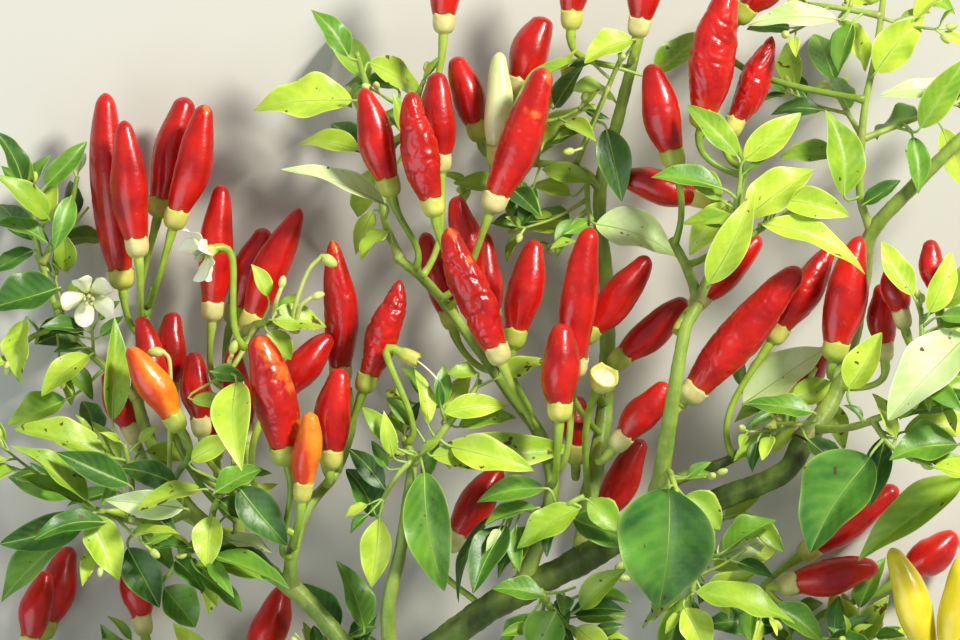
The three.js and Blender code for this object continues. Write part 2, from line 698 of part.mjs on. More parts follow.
// A stem starts on the line of the stem that bears it. Its own line is straight from ring to ring, so what it
// bears in turn starts inside its solid.
function growStem(name, node, path, radii, from, sides, ringStep) {
  const points = path.map(vector);
  if (from) {
    const bearer = stems.get(from);
    points[0] = along(bearer.line, nearest(bearer.line, points[0]));
  }
  const smooth = trace(points);
  const spans = Math.max(2, Math.round(smooth.length / ringStep));
  const shares = Array.from({ length: spans + 1 }, (_, i) => i / spans);
  const line = measured(shares.map((share) => along(smooth, smooth.length * share)));
  const radiusAt = (s) => radii[0] + (radii[1] - radii[0]) * (s / line.length);
  stems.set(name, { line, radiusAt, node, sides });
  beads.push(...beadsOf(line, radiusAt, name));
  return stemSolid(name, 0);
}

function stemSolid(name, swell) {
  const { line, radiusAt, sides } = stems.get(name);
  const rings = line.positions.map((at, i) => ({ at, radius: radiusAt(line.run[i]) + swell }));
  return tube(rings, sides);
}

// Cuts a piece clear of the stem that bears it, so that it sits on the bark with the seat's gap.
function seated(solid, bearer) {
  const extended = stemSolid(bearer, SEAT_GAP);
  return largest(solid.subtract(extended).subtract(endCap(bearer)));
}

function endCap(name) {
  const { line, radiusAt, sides } = stems.get(name);
  const tip = along(line, line.length);
  const back = along(line, line.length - 1);
  const ahead = tip.clone().sub(back).setLength(SEAT_GAP).add(tip);
  const radius = radiusAt(line.length) + SEAT_GAP;
  return tube([{ at: back, radius }, { at: ahead, radius }], sides);
}

// How thick a pod is at a share u of its length, as a share of its greatest radius: it swells from its foot
// to its belly, tapers more and more towards the tip, and rounds off there.
function podShare(u) {
  const swell = POD_FOOT + (1 - POD_FOOT) * Math.sin((Math.PI / 2) * Math.min(u / POD_BELLY, 1));
  const run = Math.max(u - POD_BELLY, 0) / (1 - POD_BELLY);
  const taper = 1 - POD_TAPER * run ** 1.7;
  const close = Math.sqrt(Math.max(0, 1 - (Math.max(u - POD_CLOSE, 0) / (1 - POD_CLOSE)) ** 2));
  return swell * taper * close;
}

// A pod on its stalk: the stalk leaves its shoot square to the bark and bends to the pod's own line.
function podPlan(stem, run, foot, tip, girth, bow, stations, flower) {
  const seat = along(stem.line, run);
  const tangent = along(stem.line, run + 0.5).sub(along(stem.line, run - 0.5)).normalize();
  const direction = tip.clone().sub(foot).normalize();
  const calyx = flower ? FLOWER_CALYX_LENGTH : CALYX_LENGTH;
  const collar = foot.clone().addScaledVector(direction, -calyx);
  const out = collar.clone().sub(seat);
  out.addScaledVector(tangent, -out.dot(tangent)).normalize();
  const reach = STALK_CURVE * collar.distanceTo(seat);
  const stalk = cubic(seat, seat.clone().addScaledVector(out, reach),
    collar.clone().addScaledVector(direction, -reach), collar, 10);
  const left = new THREE.Vector3(0, 0, 1).cross(direction).normalize();
  const body = stations.map((u) => ({
    at: foot.clone().lerp(tip, u).addScaledVector(left, 4 * bow * u * (1 - u)),
    radius: (girth / 2) * (flower ? u : podShare(u)),
  }));
  const width = (flower ? FLOWER_THROAT : POD_FOOT) * girth;
  return { stalk: measured(stalk), collar, calyx, foot, body, width };
}

function podBeads(plan, owner) {
  const found = beadsOf(plan.stalk, () => STALK_RADIUS, owner);
  const all = [{ at: plan.foot, radius: plan.width / 2 }, ...plan.body];
  const run = plan.stalk.length;
  const line = measured(all.map((ring) => ring.at));
  for (let s = -plan.calyx / 2; s <= line.length; s += BEAD_STEP) {
    let i = 1;
    while (i < line.run.length - 1 && line.run[i] < s) i++;
    const share = Math.max(0, (s - line.run[i - 1]) / (line.run[i] - line.run[i - 1]));
    const radius = all[i - 1].radius + (all[i].radius - all[i - 1].radius) * share;
    const at = s < 0 ? plan.foot.clone().lerp(plan.collar, 0.5) : along(line, s);
    found.push({ at, radius: s < 0 ? radius * CALYX_WAIST : radius, owner, run: run + plan.calyx + s });
  }
  return found;
}

function podSolid(plan, sides) {
  const rings = STALK_STATIONS.map((share) => ({
    at: along(plan.stalk, plan.stalk.length * share), radius: STALK_RADIUS,
  }));
  rings.push({ at: plan.collar.clone().lerp(plan.foot, 0.45), radius: (CALYX_WAIST * plan.width) / 2 });
  rings.push({ at: plan.foot, radius: plan.width / 2 });
  return tube([...rings, ...plan.body], sides);
}

function growCluster(cluster) {
  const stem = stems.get(cluster.on);
  const middle = nearest(stem.line, vector(cluster.at));
  const names = cluster.pods.map((_, i) => `${cluster.name}_${i + 1}`);
  const podStations = cluster.fused ? SMALL_POD_STATIONS : POD_STATIONS;
  const stations = cluster.flower ? FLOWER_STATIONS : podStations;
  cluster.pods.forEach(([foot, tip, girth, bow, ripeness], i) => {
    const name = names[i];
    const run = middle + (i - (cluster.pods.length - 1) / 2) * KNUCKLE_STEP;
    const free = stem.radiusAt(run) + STALK_RADIUS + POD_CLEARANCE;
    const shifts = POD_SIDESTEPS.flatMap((step) =>
      POD_SHIFTS.map((lift) => new THREE.Vector3(step, 0, lift)));
    const plans = shifts.map((shift) => podPlan(
      stem, run, vector(foot).add(shift), vector(tip).add(shift), girth, bow, stations, cluster.flower));
    const plan = plans.find((trial) => podBeads(trial, name).every((bead) => {
      const ignored = bead.run < free ? [cluster.on, ...names] : [];
      return bead.at.z - bead.radius > GROUND + 0.3
        && !tooClose(bead.at, bead.radius, POD_CLEARANCE, ignored);
    }));
    beads.push(...podBeads(plan, name));
    if (cluster.fused) {
      const solid = podSolid(plan, SMALL_POD_SIDES);
      solids.set(stem.node, solids.get(stem.node).add(solid));
    } else {
      solids.set(name, seated(podSolid(plan, POD_SIDES), cluster.on));
      finishes.set(name, ripeness || "ripe");
    }
  });
}

// Half the width of a leaf at a share t of its length, as a share of its greatest half width.
const leafShare = (t) => Math.sin(Math.PI * t ** 0.85) ** 0.9;

// A leaf blade: an arched midrib from foot to tip, and two halves folded up from it. A point of it is at a
// share t of its length and a share u of its half width, from -1 to 1.
function leafPlan(foot, tip, width, roll) {
  const length = foot.distanceTo(tip);
  const direction = tip.clone().sub(foot).normalize();
  const face = SUNWARD.clone().addScaledVector(direction, -SUNWARD.dot(direction)).normalize();
  face.applyAxisAngle(direction, (roll * Math.PI) / 180);
  const across = face.clone().cross(direction);
  const half = (t) => (width / 2) * leafShare(t);
  const place = (t, u) => foot.clone().lerp(tip, t)
    .addScaledVector(face, 4 * LEAF_ARCH * length * t * (1 - t) + LEAF_FOLD * half(t) * Math.abs(u))
    .addScaledVector(across, half(t) * u);
  return { place, half, length, width, foot, tip, direction, across };
}

function leafSamples(plan) {
  const rows = Math.ceil(plan.length / LEAF_SAMPLE_STEP);
  const columns = Math.ceil(plan.width / 2 / LEAF_SAMPLE_STEP);
  const found = [];
  for (let i = 0; i <= rows; i++)
    for (let j = -columns; j <= columns; j++) found.push(plan.place(i / rows, j / columns));
  return found;
}

// The leaf stalk: from the nearest of the spray's stems, clear of the limb, to the foot of the blade.
function stalkPlan(own, leaf) {
  const starts = own.map((name) => {
    const { line } = stems.get(name);
    return along(line, Math.max(nearest(line, leaf.foot) - STALK_LEAD, FREE_FOOT));
  });
  const start = starts.reduce((best, at) =>
    (at.distanceTo(leaf.foot) < best.distanceTo(leaf.foot) ? at : best));
  return measured([start, leaf.foot]);
}

// The leaf and its stalk as one solid, from the tip back to the twig.
function leafSolid(plan, stalk) {
  const radius = Math.max(LEAF_THICKNESS * plan.length, LEAST_THICKNESS) / 2;
  const rings = [{ at: plan.tip, radius: 0 }];
  LEAF_STATIONS.forEach((t) => {
    const half = plan.half(t);
    rings.push({ at: plan.place(t, 0), radius, half, rise: LEAF_FOLD * half });
  });
  rings.push({ at: plan.foot, radius: LEAF_STALK_RADIUS });
  rings.push({ at: stalk.positions[0], radius: LEAF_STALK_RADIUS });
  return tube(rings, 4, plan.across);
}

// Tries a leaf at its place, then with its tip and foot a little higher or lower, and takes the first that
// is clear of all else.
function growLeaf(spray, foot, tip, width, roll) {
  const owner = `${spray.name}_leaf_${spray.grown.length + 1}`;
  for (const shift of LEAF_SHIFTS) {
    const lift = new THREE.Vector3(0, 0, shift);
    const plan = leafPlan(foot.clone().addScaledVector(lift, 0.6), tip.clone().add(lift), width, roll);
    const samples = leafSamples(plan).filter((sample) => sample.distanceTo(plan.foot) > FREE_FOOT);
    const stalk = stalkPlan(spray.own, plan);
    const stalkBeads = beadsOf(stalk, () => LEAF_STALK_RADIUS, owner);
    const blocked = samples.some((at) => at.z < GROUND + 0.3 || tooClose(at, 0, LEAF_CLEARANCE, []))
      || stalkBeads.some((bead) => bead.at.z < GROUND + 1
        || tooClose(bead.at, bead.radius, STALK_CLEARANCE, [...spray.own, ...spray.grown]));
    if (blocked) continue;
    beads.push(...samples.map((at) => ({ at, radius: LEAF_BEAD_RADIUS, owner })), ...stalkBeads);
    spray.grown.push(owner);
    return leafSolid(plan, stalk);
  }
  return null;
}

// Further leaves by the seeded rule: a foot near one of the spray's stems, and a length in any direction.
function fillLeaf(spray, random) {
  const { line } = stems.get(spray.own[Math.floor(random() * spray.own.length)]);
  const start = along(line, line.length * (0.25 + 0.75 * random()));
  const turn = random() * 2 * Math.PI;
  const rise = spray.low && random() < 0.5 ? -0.9 + 0.5 * random() : -0.3 + 0.8 * random();
  const level = Math.sqrt(1 - rise * rise);
  const direction = new THREE.Vector3(Math.cos(turn) * level, Math.sin(turn) * level, rise);
  const length = 13 + 11 * random();
  const foot = start.clone().addScaledVector(direction, 4 + 3 * random());
  const tip = foot.clone().addScaledVector(direction, length);
  tip.z = Math.max(tip.z, GROUND + 2);
  foot.z = Math.max(foot.z, GROUND + 4);
  return [foot, tip, length * (0.38 + 0.1 * random()), 40 * random() - 20];
}

function growSpray(spray, index) {
  const random = randomStream(100 + index);
  spray.grown = [];
  const named = spray.leaves.map(([foot, tip, width, roll]) =>
    growLeaf(spray, vector(foot), vector(tip), width, roll));
  const filled = Array.from({ length: spray.fill }, () => growLeaf(spray, ...fillLeaf(spray, random)));
  const leaves = [...named, ...filled].filter((leaf) => leaf);
  solids.set(spray.name, leaves.reduce((whole, leaf) => whole.add(leaf), solids.get(spray.name)));
}

LIMBS.forEach((limb) => {
  const solid = growStem(limb.name, limb.name, limb.path, limb.radii, limb.from, STEM_SIDES, STEM_RING_STEP);
  solids.set(limb.name, limb.from ? seated(solid, limb.from) : solid);
  finishes.set(limb.name, limb.from ? "shoot" : "bark");
});
SPRAYS.forEach((spray) => {
  const twigs = spray.twigs.map((_, i) => `${spray.name}_twig_${i + 1}`);
  spray.own = [spray.name, ...twigs];
  const grow = (name, path, radii, from) =>
    growStem(name, spray.name, path, radii, from, TWIG_SIDES, TWIG_RING_STEP);
  const stem = grow(spray.name, spray.path, SPRAY_RADII, spray.from);
  const grown = twigs.map((twig, i) => grow(twig, spray.twigs[i], TWIG_RADII, spray.name));
  const solid = grown.reduce((whole, twig) => whole.add(twig), stem);
  solids.set(spray.name, solid);
  finishes.set(spray.name, "leaf");
});
CLUSTERS.forEach(growCluster);
SPRAYS.forEach(growSpray);
SPRAYS.forEach((spray) => solids.set(spray.name, seated(solids.get(spray.name), spray.from)));

const branch = new THREE.Group();
solids.forEach((solid, name) => {
  const finish = FINISHES[finishes.get(name)];
  const mesh = new THREE.Mesh(geometryOf(solid), new THREE.MeshStandardMaterial({ ...finish, metalness: 0 }));
  mesh.name = name;
  branch.add(mesh);
});
const box = new THREE.Box3().setFromObject(branch);
branch.position.set(-(box.min.x + box.max.x) / 2, -(box.min.y + box.max.y) / 2, -box.min.z);

export default branch;
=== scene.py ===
import math

import bpy
import numpy as np
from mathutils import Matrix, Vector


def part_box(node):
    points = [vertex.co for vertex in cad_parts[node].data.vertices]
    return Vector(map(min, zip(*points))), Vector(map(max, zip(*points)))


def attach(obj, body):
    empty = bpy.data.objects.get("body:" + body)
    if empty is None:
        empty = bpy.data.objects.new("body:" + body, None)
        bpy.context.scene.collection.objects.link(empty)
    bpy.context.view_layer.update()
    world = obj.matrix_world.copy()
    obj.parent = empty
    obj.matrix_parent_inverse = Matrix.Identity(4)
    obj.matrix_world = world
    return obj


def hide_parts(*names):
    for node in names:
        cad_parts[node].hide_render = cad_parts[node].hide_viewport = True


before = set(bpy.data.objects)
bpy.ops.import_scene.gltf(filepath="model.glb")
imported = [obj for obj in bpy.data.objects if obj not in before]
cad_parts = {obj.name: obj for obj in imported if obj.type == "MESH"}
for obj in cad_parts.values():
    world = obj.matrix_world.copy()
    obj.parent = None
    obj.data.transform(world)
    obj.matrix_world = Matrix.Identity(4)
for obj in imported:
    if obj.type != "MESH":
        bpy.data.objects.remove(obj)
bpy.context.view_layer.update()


# Main stem and shoots. The branch is one forking green stem, cut through low down, and each shoot grows out
# of the one below it from a swollen collar. Sizes are in millimetres in the branch's own frame, with x to
# the right, y along the shoots and z up. BRANCH_AT is where that frame lies in the part's.
MM = 0.001
BRANCH_AT = np.array([-5.68579, 3.43955, 39.0])
GROUND = -40
SPAN_STEPS = 8
SCAN_STEP = 0.5
BEAD_STEP = 1.5
STEM_RING_STEP = 15
LIMBS = [
    dict(name="main_stem", radii=(3.9, 2.5),
         path=[(-21, -106, -8), (-16, -88, -9), (-7, -79, -8), (6, -70, -7), (20, -63, -6), (33, -56, -5),
               (48, -49, -5), (62, -44, -4), (76, -38, -2), (81, -30, -2)]),
    dict(name="near_shoot", bearer="main_stem", radii=(2.2, 1.1),
         path=[(-17, -93, -8), (-22, -84, 0), (-23, -72, 5), (-20, -58, 7), (-18, -44, 8), (-17, -36, 8),
               (-19, -29, 8)]),
    dict(name="left_limb", bearer="main_stem", radii=(2.5, 1.2),
         path=[(-19, -98, -8), (-30, -86, -8), (-40, -74, -7), (-47, -67, -6), (-57, -60, -6),
               (-72, -48, -6), (-80, -36, -14), (-86, -20, -26), (-85, -4, -31), (-82, 8, -32)]),
    dict(name="left_inner_shoot", bearer="left_limb", radii=(1.7, 1.0),
         path=[(-47, -67, -6), (-47, -59, 1), (-43, -47, 0), (-36, -38, -6), (-32, -26, -7),
               (-33, -17, -7)]),
    dict(name="left_upper_shoot", bearer="left_limb", radii=(1.7, 0.9),
         path=[(-60, -57, -6), (-60, -44, -16), (-62, -28, -21), (-64, -14, -21), (-61, -5, -12),
               (-57, -2, -4)]),
    dict(name="middle_shoot", bearer="main_stem", radii=(2.1, 1.1),
         path=[(10, -68, -7), (15, -54, -4), (18, -41, -1), (15, -29, -3), (8, -19, -6), (-2, -5, -8),
               (-12, 8, -4), (-21, 16, 0)]),
    dict(name="tall_shoot", bearer="main_stem", radii=(2.4, 1.2),
         path=[(26, -60, -5), (27, -46, -14), (31, -25, -22), (32, 5, -26), (30, 31, -22), (35, 52, -18),
               (40, 72, -15), (43, 87, -12)]),
    dict(name="right_shoot", bearer="main_stem", radii=(2.4, 1.1),
         path=[(42, -52, -5), (45, -40, 10), (48, -20, 20), (51, -3, 20), (54, 4, 17), (52, 12, 10),
               (48, 20, 3)]),
    dict(name="right_upper_shoot", bearer="right_shoot", radii=(1.3, 0.9),
         path=[(54, 4, 17), (59, 15, 10), (64, 28, 4), (66, 37, 1), (64, 44, -1)]),
    dict(name="right_inner_shoot", bearer="right_shoot", radii=(1.6, 1.0),
         path=[(45, -42, 8), (51, -39, 3), (57, -37, 1), (64, -34, 0), (73, -27, 0)]),
    dict(name="right_limb", bearer="main_stem", radii=(2.4, 1.4),
         path=[(81, -30, -2), (88, -20, -6), (93, -5, -9), (96, 11, -7), (98, 22, -3), (109, 34, 0),
               (120, 45, 0), (131, 55, 0)]),
]


class Line:
    """A line through a row of positions: straight between them, and known by the length run along it."""

    def __init__(self, positions):
        self.positions = np.asarray(positions, float)
        spans = np.linalg.norm(np.diff(self.positions, axis=0), axis=1)
        self.run = np.concatenate([[0.0], np.cumsum(spans)])
        self.length = self.run[-1]

    def at(self, length):
        """The position at a length, or at each of several lengths."""
        within = np.clip(length, 0, self.length)
        return np.stack([np.interp(within, self.run, axis) for axis in self.positions.T], -1)

    def nearest(self, point):
        """The length at which the line passes nearest to a point, found in steps of half a millimetre."""
        lengths = np.arange(int(self.length / SCAN_STEP) + 1) * SCAN_STEP
        return lengths[np.argmin(np.linalg.norm(self.at(lengths) - point, axis=1))]


def trace(points):
    """A smooth line through the points: on each span, the cubic that meets both ends with half the chord
    between their neighbours as its slope. The first and last slopes mirror the next point."""
    points = np.asarray(points, float)
    row = np.vstack([2 * points[0] - points[1], points, 2 * points[-1] - points[-2]])
    a, b = row[1:-2, None], row[2:-1, None]
    slope_a, slope_b = (b - row[:-3, None]) / 2, (row[3:, None] - a) / 2
    t = (np.arange(SPAN_STEPS) / SPAN_STEPS)[None, :, None]
    spans = (a + slope_a * t + (3 * (b - a) - 2 * slope_a - slope_b) * t**2
             + (2 * (a - b) + slope_a + slope_b) * t**3)
    return Line(np.vstack([spans.reshape(-1, 3), points[-1]]))


# All that has grown so far, as beads with a centre, a radius and an owner, and the stems that bear it.
beads = dict(at=np.zeros((0, 3)), radius=np.zeros(0), owner=np.zeros(0, int))
owners = {}
stems = {}


def add_beads(at, radius, owner):
    """Keeps beads for the pieces that grow later to stay clear of."""
    number = owners.setdefault(owner, len(owners))
    beads["at"] = np.vstack([beads["at"], at])
    beads["radius"] = np.concatenate([beads["radius"], np.broadcast_to(radius, len(at))])
    beads["owner"] = np.concatenate([beads["owner"], np.full(len(at), number)])


def too_close(at, radius, clearance, ignored=()):
    """Whether any of these positions lies nearer to a bead than both radii and the clearance."""
    radius = np.broadcast_to(radius, len(at))
    margin = radius.max() + clearance + beads["radius"]
    near = ((beads["at"] > at.min(axis=0) - margin[:, None]).all(axis=1)
            & (beads["at"] < at.max(axis=0) + margin[:, None]).all(axis=1)
            & ~np.isin(beads["owner"], [owners[name] for name in ignored if name in owners]))
    gaps = np.linalg.norm(beads["at"][near][None] - at[:, None], axis=2)
    return bool((gaps < beads["radius"][near][None] + radius[:, None] + clearance).any())


def bead_lengths(line):
    """The lengths along a line at which its beads lie."""
    return np.arange(int(line.length / BEAD_STEP) + 1) * BEAD_STEP


def grow_stem(name, path, radii, bearer, ring_step):
    """Grows a stem from the nearest point of its bearer. Its rule line runs straight from ring to ring, as in
    the solids, and decides what fits. Its smooth line is the one that is drawn."""
    points = np.array(path, float)
    smooth_points = points.copy()
    if bearer:
        rule = stems[bearer]["rule"]
        points[0] = rule.at(rule.nearest(points[0]))
        share = rule.nearest(points[0]) / rule.length
        smooth_points[0] = stems[bearer]["smooth"].at(share * stems[bearer]["smooth"].length)
        stems[bearer]["forks"].append(share)
    traced = trace(points)
    spans = max(2, round(traced.length / ring_step))
    rule = Line(traced.at(np.linspace(0, traced.length, spans + 1)))
    stems[name] = dict(rule=rule, smooth=trace(smooth_points), radii=radii, forks=[], bearer=bearer)
    lengths = bead_lengths(rule)
    add_beads(rule.at(lengths), radii[0] + (radii[1] - radii[0]) * lengths / rule.length, name)


for limb in LIMBS:
    grow_stem(limb["name"], limb["path"], limb["radii"], limb.get("bearer"), STEM_RING_STEP)


def unit(vectors):
    """Vectors of the same directions, each one long."""
    return vectors / np.linalg.norm(vectors, axis=-1, keepdims=True)


def sides_of(positions):
    """Two unit vectors square to a path at each of its positions. The first is square to the path and to the
    one of a few fixed directions that the path keeps furthest from."""
    tangents = unit(np.gradient(positions, axis=0))
    fixed = [(1, 0, 0), (0, 1, 0), (0, 0, 1), (1, 1, 0), (1, -1, 0), (1, 0, 1), (0, 1, 1)]
    fixed = unit(np.array(fixed, float))
    straightest = np.abs(tangents @ fixed.T).max(axis=0).argmin()
    first = unit(np.cross(tangents, fixed[straightest]))
    return first, np.cross(tangents, first)


def angles_round(around):
    """Evenly spaced angles round a ring, as one row."""
    return np.linspace(0, 2 * np.pi, around, endpoint=False)[None]


def skin_round(positions, radii, around):
    """A skin round a path: at each position, a ring of points at the radius that radii gives there, one
    number for the ring or one for each point of it."""
    theta = angles_round(around)
    first, second = sides_of(positions)
    radii = np.broadcast_to(np.reshape(radii, (len(positions), -1)), (len(positions), around))
    return (positions[:, None] + (radii * np.cos(theta))[..., None] * first[:, None]
            + (radii * np.sin(theta))[..., None] * second[:, None])


def add_object(name, mesh):
    """An object for a mesh, in the scene."""
    piece = bpy.data.objects.new(name, mesh)
    bpy.context.scene.collection.objects.link(piece)
    return piece


def make_piece(name, skins, finishes, slot, stands_for=()):
    """Joins skins into one mesh. A skin is its rings of points, closed round and shut by a pole at each end,
    the number of its finish, and values that its finish reads at each point."""
    points, quads, fans, shades, start = [], [], [], [], 0
    values = {key: [] for skin in skins for key in skin.get("values", {})}
    for skin in skins:
        rings = skin["rings"]
        rows, around = rings.shape[:2]
        index = start + np.arange(rows * around).reshape(rows, around)
        ahead = np.roll(index, -1, axis=1)
        first, last = start + rows * around, start + rows * around + 1
        quads.append(np.stack([index[:-1], ahead[:-1], ahead[1:], index[1:]], -1).reshape(-1, 4))
        fans.append(np.stack([ahead[0], index[0], np.full(around, first)], -1))
        fans.append(np.stack([index[-1], ahead[-1], np.full(around, last)], -1))
        points += [rings.reshape(-1, 3), rings[[0, -1]].mean(axis=1)]
        shades.append(np.full((rows + 1) * around, skin.get("finish", 0)))
        for key in values:
            value = np.broadcast_to(skin.get("values", {}).get(key, 0.0), (rows, around))
            values[key] += [value.ravel(), value[[0, -1]].mean(axis=1)]
        start += rows * around + 2
    faces = [face for part in zip(quads, fans[::2], fans[1::2]) for group in part for face in group.tolist()]
    mesh = bpy.data.meshes.new(name)
    mesh.from_pydata(((np.vstack(points) + BRANCH_AT) * MM).tolist(), [], faces)
    mesh.polygons.foreach_set("material_index", np.concatenate(shades).astype(np.int32))
    mesh.polygons.foreach_set("use_smooth", np.ones(len(mesh.polygons), bool))
    for key, parts in values.items():
        mesh.attributes.new(key, "FLOAT", "POINT").data.foreach_set("value", np.concatenate(parts))
    for material in finishes:
        mesh.materials.append(material)
    piece = add_object(name, mesh)
    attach(piece, "root")
    if stands_for:
        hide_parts(*stands_for)


def paint(code):
    """A colour from its six-digit code, as the light that it stands for."""
    channels = np.array([code >> 16 & 255, code >> 8 & 255, code & 255]) / 255
    light = np.where(channels <= 0.04045, channels / 12.92, ((channels + 0.055) / 1.055) ** 2.4)
    return (*light, 1.0)


WHITE, BLACK = (1, 1, 1, 1), (0, 0, 0, 1)


def new_finish(name, roughness, coat=0.0, gloss=0.4):
    """A finish with its gloss set, and the shader that takes its colour."""
    material = bpy.data.materials.new(name)
    material.use_nodes = True
    shader = material.node_tree.nodes["Principled BSDF"]
    shader.inputs["Roughness"].default_value = roughness
    shader.inputs["Coat Weight"].default_value = coat
    shader.inputs["Coat Roughness"].default_value = 0.12
    shader.inputs["Specular IOR Level"].default_value = gloss
    return material, shader


def noise(material, waves, detail=3.0, stretch=(1, 1, 1)):
    """The factor of a noise that reads the place on the object, with so many waves to a metre."""
    nodes, links = material.node_tree.nodes, material.node_tree.links
    place = nodes.new("ShaderNodeTexCoord")
    mapping = nodes.new("ShaderNodeMapping")
    mapping.inputs["Scale"].default_value = stretch
    pattern = nodes.new("ShaderNodeTexNoise")
    pattern.inputs["Scale"].default_value = waves
    pattern.inputs["Detail"].default_value = detail
    links.new(place.outputs["Object"], mapping.inputs["Vector"])
    links.new(mapping.outputs["Vector"], pattern.inputs["Vector"])
    return pattern.outputs["Fac"]


def value_at(material, name):
    """The value that the mesh holds at each point under a name."""
    reader = material.node_tree.nodes.new("ShaderNodeAttribute")
    reader.attribute_name = name
    return reader.outputs["Fac"]


def ramp(material, factor, stops):
    """The colour that a factor picks from stops, each a place from 0 to 1 and a colour."""
    blend = material.node_tree.nodes.new("ShaderNodeValToRGB")
    elements = blend.color_ramp.elements
    while len(elements) < len(stops):
        elements.new(1.0)
    for element, (place, colour) in zip(elements, stops):
        element.position = place
        element.color = colour
    material.node_tree.links.new(factor, blend.inputs["Fac"])
    return blend.outputs["Color"]


def feed(material, sockets, sources):
    """Gives each socket its source, which is a value or another node's output."""
    for socket, source in zip(sockets, sources):
        if isinstance(source, bpy.types.NodeSocket):
            material.node_tree.links.new(source, socket)
        else:
            socket.default_value = source


def mixed(material, factor, first, second, blend="MIX"):
    """Two colours blended by a factor."""
    mix = material.node_tree.nodes.new("ShaderNodeMix")
    mix.data_type = "RGBA"
    mix.blend_type = blend
    feed(material, (mix.inputs[0], mix.inputs[6], mix.inputs[7]), (factor, first, second))
    return mix.outputs[2]


def colour_by(material, shader, colour):
    """Gives the finish its colour from another node's output."""
    material.node_tree.links.new(colour, shader.inputs["Base Color"])


def grain(material, shader, factor, height):
    """Roughens the surface's light by a factor, as relief of a height in millimetres."""
    bump = material.node_tree.nodes.new("ShaderNodeBump")
    bump.inputs["Distance"].default_value = height * MM
    bump.inputs["Strength"].default_value = 1.0
    material.node_tree.links.new(factor, bump.inputs["Height"])
    material.node_tree.links.new(bump.outputs["Normal"], shader.inputs["Normal"])


def stem_finish(name, dark, light, scar, roughness):
    """Stem skin: long faint streaks of two greens, with corky brown where the mesh's own value says so."""
    material, shader = new_finish(name, roughness)
    streaks = noise(material, waves=260, detail=4.0, stretch=(1, 0.35, 1))
    greens = ramp(material, streaks, [(0.32, paint(dark)), (0.68, paint(light))])
    colour_by(material, shader, mixed(material, value_at(material, "cork"), greens, paint(scar)))
    grain(material, shader, noise(material, waves=1400, detail=2.0), height=0.12)
    return material


def clouded_finish(name, roughness, waves, low, high):
    """A finish in soft clouds of two colours, each with its place on the noise that deals them out."""
    material, shader = new_finish(name, roughness)
    stops = [(place, paint(code)) for place, code in (low, high)]
    colour_by(material, shader, ramp(material, noise(material, waves), stops))
    return material


bark = stem_finish("bark", dark=0x35491A, light=0x5F7A2A, scar=0x5B5A2A, roughness=0.55)
shoot_skin = stem_finish("shoot_skin", dark=0x67882A, light=0x97B444, scar=0x8F8450, roughness=0.45)
cut_wood = clouded_finish("cut_wood", 0.7, 900, (0.35, 0xB9B878), (0.65, 0xDAD6A6))

RIDGES = 5
FINE_RIDGE = 0.4
SLOW_RIDGE = 0.25
RIDGE_TWIST = 0.02
SWAY = 0.35
COLLAR = 0.45
COLLAR_REACH = 2.2
KNOT = 0.16
KNOT_REACH = 1.8
STEM_LUMPS = ((0.03, 0.9), (0.02, 2.3))
CORK_AT_SWELL = 1.6
CORK_ON_RIDGE = 0.35
MOST_CORK = 0.8
STEM_ROW_STEP = 0.8
STEM_SIDES = 24
MAIN_RIDGE = 0.06
SHOOT_RIDGE = 0.045
BARKED = ("main_stem", "right_inner_shoot")
CUT_ENDS = dict(main_stem=0, right_limb=-1, tall_shoot=-1)
CUT_DISC = ((0.95, -0.5), (0.95, 0.1), (0.5, 0.16))


def stem_skin(name, row_step, around, ridge, seed):
    """The skin of a stem: its radius tapers evenly, swells at the collar where it leaves its bearer and at
    each fork, and rises and falls round the stem in ridges and along it in low lumps."""
    stem = stems[name]
    line = stem["smooth"]
    lengths = np.linspace(0, line.length, max(4, int(line.length / row_step)))
    share = lengths / line.length
    taper = stem["radii"][0] + (stem["radii"][1] - stem["radii"][0]) * share
    swell = COLLAR * np.exp(-lengths / (COLLAR_REACH * taper)) * (stem["bearer"] is not None)
    for fork in stem["forks"]:
        swell = swell + KNOT * np.exp(-(((lengths - fork * line.length) / (KNOT_REACH * taper)) ** 2))
    draw = np.random.default_rng(seed)
    theta = angles_round(around)
    turn = draw.uniform(0, 6, 3)[:, None, None]
    twist = turn + lengths[None, :, None] * draw.uniform(-RIDGE_TWIST, RIDGE_TWIST, (3, 1, 1))
    relief = (ridge * np.cos(RIDGES * theta + twist[0])
              + FINE_RIDGE * ridge * np.cos(2 * RIDGES * theta + twist[1])
              + SLOW_RIDGE * ridge * np.cos(3 * theta + twist[2] + lengths[:, None] * SWAY))
    (broad, slow), (low, quick) = STEM_LUMPS
    uneven = broad * np.sin(lengths * slow + draw.uniform(0, 6)) + low * np.sin(lengths * quick)
    radii = taper[:, None] * (1 + swell[:, None] + uneven[:, None] + relief)
    cork = swell[:, None] * CORK_AT_SWELL + CORK_ON_RIDGE * np.clip(relief / ridge, 0, 1)
    values = dict(cork=np.clip(cork, 0, MOST_CORK))
    return dict(rings=skin_round(line.at(lengths), radii, around), values=values)


def cut_face(rings, end):
    """A pale disc just proud of a cut end, in three rings: the end's own ring drawn in a little, first sunk,
    then proud, and a smaller one."""
    ring, middle = rings[end], rings[end].mean(axis=0)
    outward = unit(middle - rings[1 if end == 0 else -2].mean(axis=0))
    disc = np.array([middle + (ring - middle) * size + outward * proud for size, proud in CUT_DISC])
    return dict(rings=disc if end else disc[::-1], finish=1)


